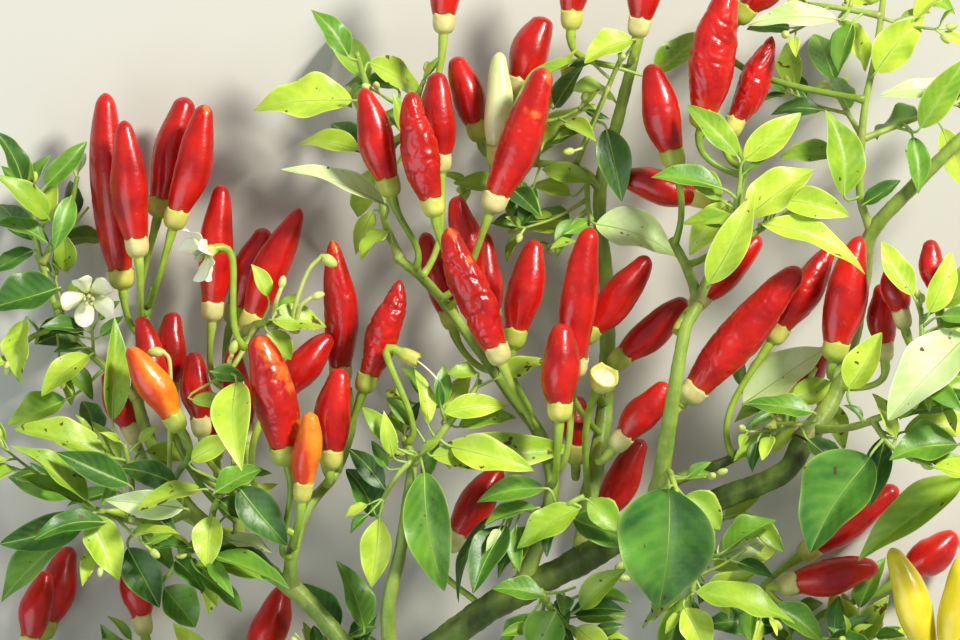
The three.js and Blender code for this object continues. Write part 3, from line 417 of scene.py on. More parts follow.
for number, limb in enumerate(LIMBS):
    name = limb["name"]
    ridge = MAIN_RIDGE if name == "main_stem" else SHOOT_RIDGE
    skin = stem_skin(name, STEM_ROW_STEP, STEM_SIDES, ridge, number)
    skins = [skin, cut_face(skin["rings"], CUT_ENDS[name])] if name in CUT_ENDS else [skin]
    finish, slot = (bark, "bark") if name in BARKED else (shoot_skin, "green_stem")
    make_piece(f"{name}_skin", skins, [finish, cut_wood], slot, [name])


# Twigs. Every spray of leaves hangs on one slim green stem that leaves its shoot, with thinner twigs on it.
# They are round and smooth, lighter than the shoots, and taper little. A row of SPRAYS also holds the spray's
# leaves: the foot and tip of each, its width and its roll, and a letter for its shade of green. Besides the
# leaf's own green, the letters b and p are partly painted sunlight, and d and w partly painted shade.
SPRAY_RADII = (1.1, 0.7)
TWIG_RADII = (0.8, 0.6)
TWIG_RING_STEP = 12
TWIG_ROW_STEP = 1.0
TWIG_SIDES = 12
TWIG_RIDGE = 0.04
TWIG_SEED = 50
SEEDS_APART = 8
SPRAYS = [
    dict(name="left_leaves", bearer="left_limb", shades="fsddpdbgdf", fill=1, full=True,
         path=[(-72, -48, -6), (-81, -51, -1), (-91, -49, 2), (-99, -46, 1), (-106, -41, -2)],
         twigs=[[(-88, -50, 1), (-87, -42, -3), (-89, -31, -2)]],
         leaves=[((-98, -45, 6), (-117, -31, 9), 11, 25), ((-94, -34, -2), (-116, -26, -1), 10, 10),
                 ((-88, -41, 3), (-106, -33, 4), 8, -20), ((-76, -41, -1), (-90, -37, -1), 7, -30),
                 ((-74, -47, 8), (-94, -45, 9), 7.5, -40), ((-99, -50, 0), (-120, -56, 0), 9, -35),
                 ((-97, -49, 5), (-90, -65, 7), 10, 0), ((-101, -52, -8), (-121, -70, -12), 13, 20),
                 ((-88, -57, -2), (-80, -72, -2), 10, 15), ((-92, -25, -3), (-91, 1, -2), 7.5, 30)]),
    dict(name="left_centre_leaves", bearer="left_limb", shades="dgbddpgb", fill=1, full=True,
         path=[(-66, -53, -6), (-67, -50, 2), (-66, -46, 7), (-63, -41, 9), (-62, -37, 10)],
         twigs=[[(-67, -51, 0), (-73, -57, 0), (-78, -64, -2)]],
         leaves=[((-76, -60, 3), (-69, -68, 5), 7, 0), ((-79, -67, -1), (-71, -77, 0), 10, 10),
                 ((-67, -49, 9), (-68, -62, 11), 8, 10), ((-65, -45, 11), (-58, -50, 12), 6, -10),
                 ((-60, -42, 9), (-48, -56, 8), 10, 20), ((-63, -55, 4), (-52, -58, 6), 7, -20),
                 ((-66, -43, 12), (-54, -37, 10), 7, 0), ((-72, -35, 8), (-61, -29, 9), 6, 20)]),
    dict(name="flower_leaves", bearer="left_upper_shoot", shades="bfsgf", fill=1,
         path=[(-58, -3, -6), (-55, -1, 1), (-50, -1, 4), (-45, -2, 5)],
         twigs=[[(-56, -1, 0), (-60, -9, 4), (-64, -15, 6)]],
         leaves=[((-53, 6, 6), (-57, 14, 7), 4.5, 0), ((-53, -3, 8), (-47, -10, 6), 6, 20),
                 ((-52, 0, 8), (-38, -1, 4), 9, 0), ((-67, -13, 8), (-58, -15, 9), 5, 10),
                 ((-72, -20, 6), (-61, -22, 7), 5, 0)]),
    dict(name="left_edge_leaves", bearer="left_limb", shades="gdbbfd", fill=1, low=True,
         path=[(-86, -20, -26), (-94, -12, -26), (-104, -2, -24), (-110, 14, -22), (-113, 32, -20)],
         twigs=[[(-104, -2, -24), (-112, -4, -22), (-117, -9, -20)],
                [(-110, 14, -22), (-103, 28, -21), (-101, 36, -20)]],
         leaves=[((-108, 19, -18), (-122, 25, -17), 7, 20), ((-106, 8, -16), (-123, 3, -16), 12, 0),
                 ((-114, 0, -18), (-116, -15, -16), 8, 30), ((-98, -9, -18), (-110, -19, -16), 7, 0),
                 ((-104, -20, -24), (-119, -26, -24), 9, 0), ((-112, 20, -26), (-121, 30, -39), 8, 0)]),
    dict(name="centre_leaves", bearer="near_shoot", shades="sgbfbddbb", fill=2, full=True,
         path=[(-17, -36, 8), (-12, -31, 10), (-8, -26, 10), (-3, -20, 9), (0, -15, 7)],
         twigs=[[(-12, -31, 10), (-20, -38, 14), (-25, -46, 8)]],
         leaves=[((-12, -34, 12), (23, -32, 2), 10, 20), ((-14, -38, 12), (-9, -68, 10), 12, 10),
                 ((-9, -23, 12), (7, -21, 9), 6.5, 20), ((-1, -13, 10), (-8, -13, 12), 5, 0),
                 ((-13, -26, 12), (-16, -12, 10), 5, 30), ((-26, -49, 3), (-33, -37, 4), 9.5, 10),
                 ((-24, -42, 6), (-33, -32, 3), 6, -20)]),
    dict(name="fan_leaves", bearer="middle_shoot", shades="ggfdf", fill=1, full=True,
         path=[(16, -51, -4), (19, -48, 4), (22, -46, 8), (26, -44, 8)],
         twigs=[[(17, -50, 0), (11, -47, 2), (5, -48, 2)]],
         leaves=[((16, -42, 9), (-1, -45, 8), 7, -10), ((14, -47, 7), (1, -51, 8), 6, 20),
                 ((25, -47, 9), (9, -57, 8), 9, 0), ((3, -49, 1), (-7, -70, 2), 7, 60),
                 ((27, -45, 8), (36, -53, 9), 8, 10)]),
    dict(name="stem_foot_leaves", bearer="main_stem", shades="ggb", fill=1, full=True,
         path=[(14, -66, -7), (17, -71, -1), (20, -75, 1), (25, -79, 0)],
         twigs=[],
         leaves=[((16, -69, 5), (3, -67, 6), 7, 0), ((19, -73, 4), (14, -84, 2), 12, 0),
                 ((24, -77, 2), (34, -84, 2), 7, 20)]),
    dict(name="lower_left_leaves", bearer="main_stem", shades="gdgf", fill=3, full=True, low=True,
         path=[(-20, -102, -8), (-33, -99, -15), (-60, -96, -24), (-88, -92, -30), (-108, -88, -32)],
         twigs=[[(-33, -99, -15), (-35, -88, -15), (-36, -78, -13)]],
         leaves=[((-29, -77, -8), (-35, -60, -6), 9, 20), ((-36, -78, -12), (-45, -66, -14), 8, 0),
                 ((-62, -92, -20), (-74, -80, -18), 8, 0), ((-94, -94, -33), (-108, -102, -39), 9, 0)]),
    dict(name="front_leaves", bearer="right_shoot", shades="wf", fill=1, full=True,
         path=[(45, -42, 8), (47, -38, 19), (48, -40, 26), (49, -43, 29)],
         twigs=[],
         leaves=[((47, -42, 31), (44, -73, 22), 25, 0), ((51, -44, 27), (60, -52, 24), 9, 0)]),
    dict(name="lower_right_leaves", bearer="main_stem", shades="fbgfgf", fill=2, full=True, low=True,
         path=[(55, -46, -5), (57, -56, -13), (66, -68, -23), (84, -80, -28), (102, -91, -24),
               (113, -97, -15)],
         twigs=[[(57, -57, -13), (54, -64, -5), (53, -69, 0)]],
         leaves=[((54, -68, 4), (79, -75, 4), 11, -10), ((51, -72, 2), (57, -84, 2), 9, 0),
                 ((61, -58, -4), (74, -50, -6), 9, -20), ((70, -50, -10), (76, -58, -8), 5, 20),
                 ((74, -72, -16), (86, -80, -14), 8, 0), ((84, -83, -30), (92, -96, -39), 8, 0)]),
    dict(name="right_leaves", bearer="right_inner_shoot", shades="pgfd", fill=1, full=True,
         path=[(72, -28, 0), (76, -24, -5), (80, -20, -10), (84, -12, -14)],
         twigs=[[(75, -25, -3), (70, -22, -9), (66, -18, -12)],
                [(74, -26, -2), (80, -26, 4), (84, -25, 8)]],
         leaves=[((66, -21, -14), (86, -6, -15), 13, 0), ((83, -23, 11), (66, -20, 12), 7, 0),
                 ((78, -20, 4), (88, -15, 2), 7, 20), ((82, -30, 6), (92, -38, 6), 7, 0)]),
    dict(name="right_front_leaves", bearer="right_limb", shades="wpbgbbf", fill=2, full=True,
         path=[(83, -27, -3), (91, -27, 8), (98, -25, 16), (108, -20, 20), (116, -12, 20)],
         twigs=[[(98, -25, 16), (102, -31, 18), (108, -35, 16)],
                [(108, -20, 20), (110, -8, 18), (110, 3, 16)]],
         leaves=[((97, -34, 22), (82, -58, 18), 19, 0), ((121, -4, 22), (101, -24, 27), 15, 0),
                 ((92, -17, 18), (100, -3, 19), 9, 0), ((119, -31, 12), (102, -34, 14), 12, 0),
                 ((112, 2, 20), (118, 17, 18), 7, 30), ((108, 6, 18), (100, 20, 14), 7, 0),
                 ((121, -40, 2), (94, -60, -4), 12, 0)]),
    dict(name="right_top_leaves", bearer="right_limb", shades="pgbpfdfg", fill=2, low=True,
         path=[(98, 22, -3), (95, 32, -1), (96, 52, 0), (99, 67, 0), (101, 82, 0), (102, 90, 0)],
         twigs=[[(101, 76, 0), (90, 78, -2), (82, 79, -4)], [(96, 45, 0), (108, 50, -4), (118, 54, -6)],
                [(96, 46, 0), (92, 52, -12), (89, 58, -22)]],
         leaves=[((89, 75, 4), (67, 75, 4), 7, 0), ((93, 74, 1), (89, 62, 3), 7, 20),
                 ((99, 62, 4), (111, 76, 4), 10, 20), ((120, 58, -1), (100, 57, 4), 6, 0),
                 ((91, 31, 4), (87, 53, 2), 11, 20), ((96, 29, 4), (105, 35, 5), 5, 0),
                 ((110, 48, 0), (122, 66, -2), 8, 20), ((89, 60, -26), (84, 73, -39), 9, 0)]),
    dict(name="upper_front_leaves", bearer="right_upper_shoot", shades="fbbbbbf", fill=1,
         path=[(59, 15, 10), (62, 17, 17), (66, 20, 21), (72, 24, 22)],
         twigs=[[(62, 17, 17), (64, 28, 18), (65, 36, 18)]],
         leaves=[((64, 41, 18), (52, 54, 16), 7, 0), ((66, 40, 19), (80, 52, 18), 8, 20),
                 ((67, 26, 23), (83, 38, 21), 12, 0), ((57, 9, 25), (68, 32, 27), 9, 10),
                 ((70, 24, 24), (97, 13, 22), 8, 0), ((75, 30, 20), (92, 26, 18), 8, 20),
                 ((60, 30, 18), (50, 38, 15), 7, 0)]),
    dict(name="top_leaves", bearer="tall_shoot", shades="bfpdf", fill=2, low=True,
         path=[(31, 33, -22), (24, 38, -20), (10, 39, -19), (-2, 34, -17)],
         twigs=[[(24, 38, -20), (29, 51, -10), (35, 65, -3)], [(14, 39, -19), (16, 50, -14), (20, 60, -8)],
                [(27, 36, -21), (27, 29, -15), (28, 25, -10)]],
         leaves=[((38, 70, 1), (26, 65, 3), 8, 0), ((24, 65, -2), (7, 53, 0), 6.5, 30),
                 ((29, 24, -8), (50, 17, -8), 13, 0), ((13, 42, -25), (9, 55, -39), 8, 0),
                 ((44, 62, -6), (56, 72, -8), 8, 0)]),
    dict(name="top_left_leaves", bearer="middle_shoot", shades="pbbgf", fill=2, low=True,
         path=[(-20, 15, 0), (-24, 26, -9), (-25, 42, -14), (-28, 57, -14), (-31, 67, -12)],
         twigs=[[(-27, 50, -14), (-17, 55, -14), (-14, 60, -12)]],
         leaves=[((-24, 29, -4), (-50, 38, -3), 9, 20), ((-32, 55, -12), (-57, 54, -14), 13, 0),
                 ((-23, 22, -2), (-30, 15, 0), 7.5, 30), ((-33, 66, -10), (-42, 78, -10), 7, 0),
                 ((-28, 60, -20), (-37, 73, -39), 8, 0)]),
]

for spray in SPRAYS:
    grow_stem(spray["name"], spray["path"], SPRAY_RADII, spray["bearer"], TWIG_RING_STEP)
    spray["own"] = [spray["name"]]
    for number, path in enumerate(spray["twigs"]):
        twig = f"{spray['name']}_twig_{number + 1}"
        grow_stem(twig, path, TWIG_RADII, spray["name"], TWIG_RING_STEP)
        spray["own"].append(twig)

twig_skin = stem_finish("twig_skin", dark=0x7C9C34, light=0xA9C452, scar=0x9C9A58, roughness=0.42)
for number, spray in enumerate(SPRAYS):
    skins = [stem_skin(name, TWIG_ROW_STEP, TWIG_SIDES, TWIG_RIDGE, TWIG_SEED + SEEDS_APART * number + i)
             for i, name in enumerate(spray["own"])]
    make_piece(f"{spray['name']}_stems", skins, [twig_skin], "green_stem", [spray["name"]])


# Pods. Each hangs in its calyx, a pale green cup with five small teeth, on a stalk that leaves a knuckle of
# its shoot. The pod is a thin fleshy wall under a waxy skin, and wrinkles once it ages. A row of CLUSTERS
# holds the foot and tip of each pod, its girth, its bow to one side, and its ripeness where it isn't ripe.
STALK_RADIUS = 0.85
KNUCKLE_STEP = 2.7
POD_STATIONS = (0.16, 0.45, 0.82, 0.97)
SMALL_POD_STATIONS = (0.28, 0.68, 0.96)
FLOWER_STATIONS = (0.4, 1)
POD_FOOT = 0.66
POD_BELLY = 0.42
POD_TAPER = 0.62
POD_CLOSE = 0.88
CALYX_LENGTH = 6
CALYX_WAIST = 0.8
FLOWER_THROAT = 0.25
FLOWER_CALYX_LENGTH = 2.5
STALK_CURVE = 0.38
STALK_STEPS = 10
POD_CLEARANCE = 0.45
GROUND_CLEARANCE = 0.3
POD_SHIFTS = (0, 1.5, -1.5, 3, -3, 4.5, -4.5, 6, -6, 8, -8, 10, -10, 12, -12, 15, -15, 18, -18)
POD_SIDESTEPS = (0, 1.5, -1.5, 3, -3)
CLUSTERS = [
    dict(name="left_top_pod", on="left_limb", at=(-84, 0, -31),
         pods=[((-90, 12, -24), (-94, 57, -23), 10.4, 1), ((-86, 20, -13), (-89, 50, -11), 9.4, 0.5),
               ((-80, 30, -26), (-74, 56, -26), 10, 0), ((-76, 27, -15), (-69, 54, -14), 9.4, -1)]),
    dict(name="left_middle_pod", on="left_upper_shoot", at=(-64, -14, -21),
         pods=[((-67, 4, -20), (-65, 34, -19), 9, 0), ((-61, 3, -26), (-54, 23, -26), 8.6, 0),
               ((-57, 1, -14), (-45, 28, -13), 9, 0.5)]),
    dict(name="orange_pod", on="left_limb", at=(-77, -41, -10),
         pods=[((-77, -24, 4), (-88, -7, 6), 8.6, -0.5, "turning")]),
    dict(name="left_low_pod", on="left_upper_shoot", at=(-60, -43, -16),
         pods=[((-78, -16, -18), (-77, 2, -19), 8, 0), ((-70, -25, -10), (-72, -8, -10), 8, 0)]),
    dict(name="left_low_small", on="left_upper_shoot", at=(-60, -50, -12), fused=True,
         pods=[((-88, -27, -27), (-94, -13, -28), 7.4, 0), ((-79, -20, -7), (-85, 1, -9), 7.4, 0.5),
               ((-67, -31, -27), (-69, -17, -28), 7.4, 0), ((-59, -27, -9), (-62, -7, -10), 7.6, 0)]),
    dict(name="left_near_pod", on="left_inner_shoot", at=(-47, -56, 0),
         pods=[((-49, -32, 12), (-56, -4, 16), 11.4, -1),
               ((-44, -41, 15), (-42, -23, 18), 7.4, 0, "turning"),
               ((-49, -18, 0), (-37, -4, -1), 9, 0.5)]),
    dict(name="left_inner_pod", on="left_inner_shoot", at=(-37, -40, -5),
         pods=[((-37, -33, 6), (-35, -12, 8), 9.4, 0.5), ((-35, -12, -2), (-37, 20, 3), 9, -1),
               ((-28, -14, 8), (-20, 10, 10), 8.4, -0.5)]),
    dict(name="centre_pod", on="middle_shoot", at=(13, -26, -4),
         pods=[((4, -7, 14), (-8, 23, 16), 9.6, 0.5), ((9, -3, 2), (14, 20, 1), 9.2, 0)]),
    dict(name="centre_back_pod", on="middle_shoot", at=(3, -12, -7), fused=True,
         pods=[((-1, 10, -5), (-6, 31, -5), 8.2, 0), ((-8, 2, -16), (-14, 22, -17), 7.8, 0),
               ((3, 2, -15), (1, 22, -16), 7, 0)]),
    dict(name="centre_right_pod", on="middle_shoot", at=(18, -40, -1),
         pods=[((20, -21, 20), (21, -1, 22), 10, 0.5), ((24, -10, 8), (28, 23, 10), 9.6, 1.5)]),
    dict(name="tall_pod", on="tall_shoot", at=(30, -30, -20),
         pods=[((36, -29, 2), (47, -16, 3), 8.4, 0), ((28, -2, -2), (42, 16, -3), 9, -0.5)]),
    dict(name="tall_back_pod", on="tall_shoot", at=(31, -20, -23), fused=True,
         pods=[((36, -9, -11), (52, 5, -12), 8.4, 0), ((24, -32, -7), (24, -19, -7), 7.6, 0)]),
    dict(name="top_bowed_pod", on="middle_shoot", at=(-9, 4, -5),
         pods=[((-12, 30, 9), (-17, 57, 11), 9, 1), ((4, 31, 6), (16, 63, 8), 10.4, -1)]),
    dict(name="top_centre_pod", on="middle_shoot", at=(-16, 11, -2),
         pods=[((-10, 41, -3), (-11, 62, -3), 9, 0), ((-23, 35, 2), (-29, 58, 3), 9, 0.5)]),
    dict(name="top_back_small", on="top_leaves", at=(6, 38, -18), fused=True,
         pods=[((-1, 49, -12), (-6, 66, -12), 8.6, 0), ((4, 43, -4), (5, 67, -5), 7, 0, "immature"),
               ((10, 60, -13), (16, 76, -13), 10, 0)]),
    dict(name="top_edge_small", on="tall_shoot", at=(38, 64, -16), fused=True,
         pods=[((23, 77, -10), (24, 98, -10), 8.6, 0), ((40, 75, 0), (44, 96, 1), 9, 0)]),
    dict(name="top_left_small", on="top_left_leaves", at=(-25, 44, -14), fused=True,
         pods=[((-9, 76, -8), (-8, 101, -8), 9, 0)]),
    dict(name="right_top_pod", on="right_shoot", at=(48, 19, 4),
         pods=[((48, 42, 6), (43, 64, 6), 9.6, 0.5)]),
    dict(name="right_top_small", on="right_shoot", at=(51, 14, 9), fused=True,
         pods=[((54, 31, -8), (34, 36, -8), 8.6, 0)]),
    dict(name="right_back_small", on="right_shoot", at=(51, -2, 20), fused=True,
         pods=[((56, 6, -4), (70, 21, -5), 8, 0)]),
    dict(name="right_high_pod", on="right_upper_shoot", at=(66, 37, 1),
         pods=[((56, 52, 4), (62, 83, 5), 11.4, 0.5), ((64, 50, -2), (73, 71, -2), 8, -0.5)]),
    dict(name="right_inner_pod", on="right_inner_shoot", at=(63, -34, 0),
         pods=[((75, -2, 0), (88, 18, -2), 8.6, 0)]),
    dict(name="right_long_pod", on="right_shoot", at=(48, -24, 18),
         pods=[((54, -17, 8), (80, 13, 11), 11, 0.5)]),
    dict(name="right_limb_pod", on="right_limb", at=(91, -12, -8),
         pods=[((89, -6, 8), (95, 21, 9), 10.6, 0.5)]),
    dict(name="right_limb_small", on="right_limb", at=(89, -18, -7), fused=True,
         pods=[((79, -17, -18), (88, -7, -21), 7.8, 0), ((101, -6, 0), (100, 9, 1), 7.6, 0)]),
    dict(name="right_edge_small", on="right_front_leaves", at=(115, -13, 20), fused=True,
         pods=[((105, 2, 10), (102, 13, 10), 7, 0), ((114, 7, 9), (112, 20, 9), 7, 0)]),
    dict(name="right_corner_small", on="right_top_leaves", at=(97, 55, 0), fused=True,
         pods=[((67, 78, -10), (77, 90, -10), 8.6, 0)]),
    dict(name="lower_right_far_small", on="lower_right_leaves", at=(69, -70, -24), fused=True,
         pods=[((84, -57, -32), (105, -42, -32), 8.8, 0)]),
    dict(name="lower_right_small", on="lower_right_leaves", at=(80, -78, -27), fused=True,
         pods=[((79, -66, -34), (100, -62, -34), 9.6, 0), ((108, -63, -30), (120, -54, -30), 9.4, 0)]),
    dict(name="yellow_pod", on="lower_right_leaves", at=(105, -93, -22),
         pods=[((112, -83, -8), (103, -57, -7), 9, -0.5, "unripe")]),
    dict(name="yellow_edge_small", on="lower_right_leaves", at=(112, -96, -16), fused=True,
         pods=[((118, -84, -6), (121, -59, -5), 9.6, 0, "unripe")]),
    dict(name="lower_left_small", on="lower_left_leaves", at=(-96, -91, -31), fused=True,
         pods=[((-85, -75, -32), (-88, -60, -33), 8, 0), ((-109, -76, -33), (-103, -57, -34), 9.4, 0),
               ((-113, -80, -22), (-109, -63, -22), 8, 0)]),
    dict(name="lower_left_far_small", on="lower_left_leaves", at=(-62, -96, -25), fused=True,
         pods=[((-56, -85, -28), (-49, -67, -30), 9.4, 0)]),
    dict(name="empty_calyx", on="tall_shoot", at=(27, -45, -15), fused=True, spent=True,
         pods=[((31, -14, 15), (32, -12, 17), 9.6, 0)]),
    dict(name="spent_calyx", on="near_shoot", at=(-18, -31, 8), fused=True, spent=True,
         pods=[((-16, -10, 11), (-14, -11, 11), 6, 0)]),
    dict(name="left_flower", on="flower_leaves_twig_1", at=(-59, -7, 3), fused=True, flower=True,
         pods=[((-68, 17, 7), (-73, 15, 9), 15, 0)]),
    dict(name="edge_flower", on="left_edge_leaves", at=(-106, 4, -23), fused=True, flower=True,
         pods=[((-98, 6, -14), (-98, 4, -9), 14, 0)]),
    dict(name="stem_small", on="main_stem", at=(1, -73, -7), fused=True,
         pods=[((-6, -54, -12), (5, -37, -14), 9.4, 0)]),
    dict(name="stem_far_small", on="main_stem", at=(33, -56, -5), fused=True,
         pods=[((31, -49, -29), (41, -30, -28), 8.6, 0)]),
]


def cubic(a, b, c, d, steps):
    """Positions on the cubic that leaves a towards b and reaches d from c."""
    t = np.linspace(0, 1, steps + 1)[:, None]
    return a * (1 - t)**3 + 3 * b * t * (1 - t)**2 + 3 * c * t**2 * (1 - t) + d * t**3


def pod_share(u, foot=POD_FOOT, taper=POD_TAPER, close=POD_CLOSE):
    """A pod's radius at a share u of its length, as a share of its greatest: it swells from its foot to its
    belly, tapers more and more towards the tip, and rounds off there."""
    swell = foot + (1 - foot) * np.sin(np.pi / 2 * np.minimum(np.maximum(u, 0) / POD_BELLY, 1))
    run = np.maximum(u - POD_BELLY, 0) / (1 - POD_BELLY)
    end = np.clip((u - close) / (1 - close), 0, 1)
    return swell * (1 - taper * run**1.7) * np.sqrt(1 - end**2)


def pod_plan(line, run, foot, tip, girth, bow, stations, flower):
    """Where a pod, its calyx and its stalk lie. The stalk leaves the line square to it at the length run and
    bends to the pod's own direction."""
    seat = line.at(run)
    tangent = unit(line.at(run + 0.5) - line.at(run - 0.5))
    direction = unit(tip - foot)
    calyx = FLOWER_CALYX_LENGTH if flower else CALYX_LENGTH
    collar = foot - direction * calyx
    out = collar - seat
    out = unit(out - tangent * (out @ tangent))
    reach = STALK_CURVE * np.linalg.norm(collar - seat)
    stalk = Line(cubic(seat, seat + out * reach, collar - direction * reach, collar, STALK_STEPS))
    left = unit(np.cross((0, 0, 1), direction))
    u = np.array(stations)[:, None]
    body = foot + (tip - foot) * u + left * 4 * bow * u * (1 - u)
    radii = girth / 2 * (u[:, 0] if flower else pod_share(u[:, 0]))
    width = (FLOWER_THROAT if flower else POD_FOOT) * girth
    return dict(stalk=stalk, collar=collar, calyx=calyx, foot=foot, tip=tip, girth=girth, left=left, bow=bow,
                direction=direction, width=width, line=Line(np.vstack([foot, body])),
                radii=np.concatenate([[width / 2], radii]))


def pod_beads(plan):
    """A pod's beads: their centres, their radii, and how far each is from the seat along the stalk."""
    stalk = bead_lengths(plan["stalk"])
    body = np.arange(-plan["calyx"] / 2, plan["line"].length + 1e-9, BEAD_STEP)
    middle = (plan["foot"] + plan["collar"]) / 2
    cup = (body < 0)[:, None]
    at = np.where(cup, middle, plan["line"].at(body))
    radius = np.interp(body, plan["line"].run, plan["radii"]) * np.where(cup[:, 0], CALYX_WAIST, 1)
    return (np.vstack([plan["stalk"].at(stalk), at]),
            np.concatenate([np.full(len(stalk), STALK_RADIUS), radius]),
            np.concatenate([stalk, plan["stalk"].length + plan["calyx"] + body]))


def pod_fits(plan, free, on, own):
    """Whether a pod clears the ground and all else. Near its seat it may touch its stem and its cluster."""
    at, radius, run = pod_beads(plan)
    if (at[:, 2] - radius <= GROUND + GROUND_CLEARANCE).any():
        return False
    near, far = run < free, run >= free
    return not (too_close(at[far], radius[far], POD_CLEARANCE)
                or too_close(at[near], radius[near], POD_CLEARANCE, [on, *own]))


def grow_cluster(cluster):
    """Plans the pods of a cluster, each in the first place that is clear, and keeps their beads. One that
    would touch another steps aside, or higher or lower."""
    stem = stems[cluster["on"]]
    rule, smooth = stem["rule"], stem["smooth"]
    middle = rule.nearest(cluster["at"])
    own = [f"{cluster['name']}_{i + 1}" for i in range(len(cluster["pods"]))]
    flower = cluster.get("flower", False)
    stations = FLOWER_STATIONS if flower else SMALL_POD_STATIONS if cluster.get("fused") else POD_STATIONS
    cluster["plans"] = []
    for i, (foot, tip, girth, bow, *ripeness) in enumerate(cluster["pods"]):
        run = middle + (i - (len(own) - 1) / 2) * KNUCKLE_STEP
        radius = stem["radii"][0] + (stem["radii"][1] - stem["radii"][0]) * run / rule.length
        for shift in [np.array([step, 0, lift]) for step in POD_SIDESTEPS for lift in POD_SHIFTS]:
            ends = (np.array(foot) + shift, np.array(tip) + shift, girth, bow, stations, flower)
            plan = pod_plan(rule, run, *ends)
            if pod_fits(plan, radius + STALK_RADIUS + POD_CLEARANCE, cluster["on"], own):
                break
        add_beads(*pod_beads(plan)[:2], own[i])
        drawn = pod_plan(smooth, run / rule.length * smooth.length, *ends)
        cluster["plans"].append(dict(drawn, name=own[i], ripeness=(ripeness or ["ripe"])[0]))


for cluster in CLUSTERS:
    grow_cluster(cluster)

# How single pods look: the depth of their wrinkles in millimetres, how much they taper where that is more
# than most do, and patches of another colour, each its share of the length, the side it faces and its spread.
# On the ripe pods the patches face the light, and their orange is partly mottling and partly a painted glint.
# On the turning pods the patches are the red of their own ripening.
WRINKLED = dict(centre_pod_1=0.46, top_bowed_pod_1=0.36, left_inner_pod_3=0.42, right_high_pod_1=0.34,
                top_bowed_pod_2=0.14, left_near_pod_1=0.18, right_long_pod_1=0.26, right_high_pod_2=0.28,
                left_inner_pod_2=0.12, right_inner_pod_1=0.2)
POINTED = dict(left_inner_pod_3=0.8, right_high_pod_2=0.84, left_inner_pod_2=0.76, orange_pod_1=0.7,
               right_limb_pod_1=0.74, left_middle_pod_3=0.72, top_centre_pod_2=0.7)
# On the ripe pods the patches face the light: partly orange mottling, partly a painted glint.
PATCHES_AND_GLINTS = dict(
    left_near_pod_1=((0.93, (0.3, 0, 0.95), 0.06), (0.8, (0.5, 0, 0.85), 0.06), (0.66, (0.8, 0, 0.6), 0.07),
                     (0.52, (0.95, 0, 0.3), 0.06), (0.15, (1, 0, 0.1), 0.1)),
    left_inner_pod_2=((0.98, (0.2, 0, 1), 0.07),),
    top_bowed_pod_2=((0.95, (0.6, 0, 0.8), 0.05), (0.66, (0.3, 0, 0.95), 0.035)),
    centre_pod_1=((0.97, (0.3, 0, 1), 0.05), (0.72, (0.8, 0, 0.6), 0.04)),
    left_top_pod_4=((0.97, (0.3, 0, 1), 0.05),),
    orange_pod_1=((0.6, (-0.97, 0, 0.2), 0.7), (0.3, (-0.97, 0, 0.2), 0.3), (0.99, (-0.3, 0, 0.8), 0.1)),
    left_near_pod_2=((0.35, (-0.9, 0, 0.4), 0.4), (0.1, (-0.3, 0, 0.9), 0.2), (0.2, (-0.9, 0, 0.4), 0.3)),
)
SMOOTH_DEPTH = 0.09
CREASE = 0.16
FINE_CREASE = 0.24
FINE_DEPTH = 0.6
SWELLING = 0.8
COARSE_NET = dict(cell=5, fewest=3, cells_round=7)
FINE_NET = dict(cell=2, fewest=6, cells_round=15)
SWELLING_NET = dict(cell=7, fewest=3, cells_round=4)
NET_BEND = 0.02
PATCH_FACING = 0.3
FOOT_SHARE = 0.6
FOOT_DRAW = (0.54, 0.62)
TAPER_DRAW = (0.56, 0.68)
TIP_CLOSE = 0.93
POD_SINK = 0.03
POD_END = 0.9998
HEEL = 0.55
HEEL_FROM = 0.02
HEEL_RUN = 0.05
RELIEF_SPREAD = 0.7
LOBES = ((0.03, 3, 1.2), (0.025, 2, -1), (0.012, 5, 2))
WAVER = 0.3
WAVER_RUN = 2.6 * np.pi
THINNEST = 0.02


def lumps(along, theta, length, draw, cell, fewest, cells_round):
    """Smooth random lumps from -1 to 1 over a skin: a random height at each corner of a net of cells, blended
    between the corners, and the same where the net closes round the pod. A cell is about so many millimetres
    long, and there are at least the fewest along the pod."""
    cells_along = max(fewest, round(length / cell))
    heights = draw.uniform(-1, 1, (cells_along + 2, cells_round))
    a = np.clip(along, 0, 1) * cells_along
    b = (theta / (2 * np.pi) * cells_round) % cells_round
    i, j = np.floor(a).astype(int), np.floor(b).astype(int) % cells_round
    s, t = a - i, b - np.floor(b)
    s, t = s * s * (3 - 2 * s), t * t * (3 - 2 * t)
    ahead = (j + 1) % cells_round
    return ((heights[i, j] * (1 - t) + heights[i, ahead] * t) * (1 - s)
            + (heights[i + 1, j] * (1 - t) + heights[i + 1, ahead] * t) * s)


def wrinkles(along, theta, length, draw):
    """The relief of an ageing skin: narrow valleys along the lines where smooth lumps pass through zero, a
    coarse net of them and a finer one, and low swellings between."""
    bent = along + NET_BEND * np.sin(2 * theta + draw.uniform(0, 6))
    coarse = lumps(bent, theta + 3 * along, length, draw, **COARSE_NET)
    fine = lumps(bent, theta - 2 * along, length, draw, **FINE_NET)
    swelling = lumps(along, theta, length, draw, **SWELLING_NET)
    valleys = -np.exp(-((coarse / CREASE) ** 2)) - FINE_DEPTH * np.exp(-((fine / FINE_CREASE) ** 2))
    return valleys + SWELLING * swelling + 0.5


def patch_and_glint_on(plan, along, rings, path):
    """How far the skin has the pod's other colour: for each patch, most at its share of the length and where
    the skin faces its side, and less and less away from there. On the ripe pods that side faces the light,
    and the orange there is partly mottling and partly a painted glint."""
    outward = unit(rings - path[:, None])
    amount = np.zeros(rings.shape[:2])
    for place, side, spread in PATCHES_AND_GLINTS.get(plan["name"], ()):
        facing = np.clip(outward @ unit(np.array(side)), 0, 1)
        amount += np.exp(-(((along - place) / spread) ** 2)) * facing ** (PATCH_FACING / spread)
    return np.clip(amount, 0, 1)


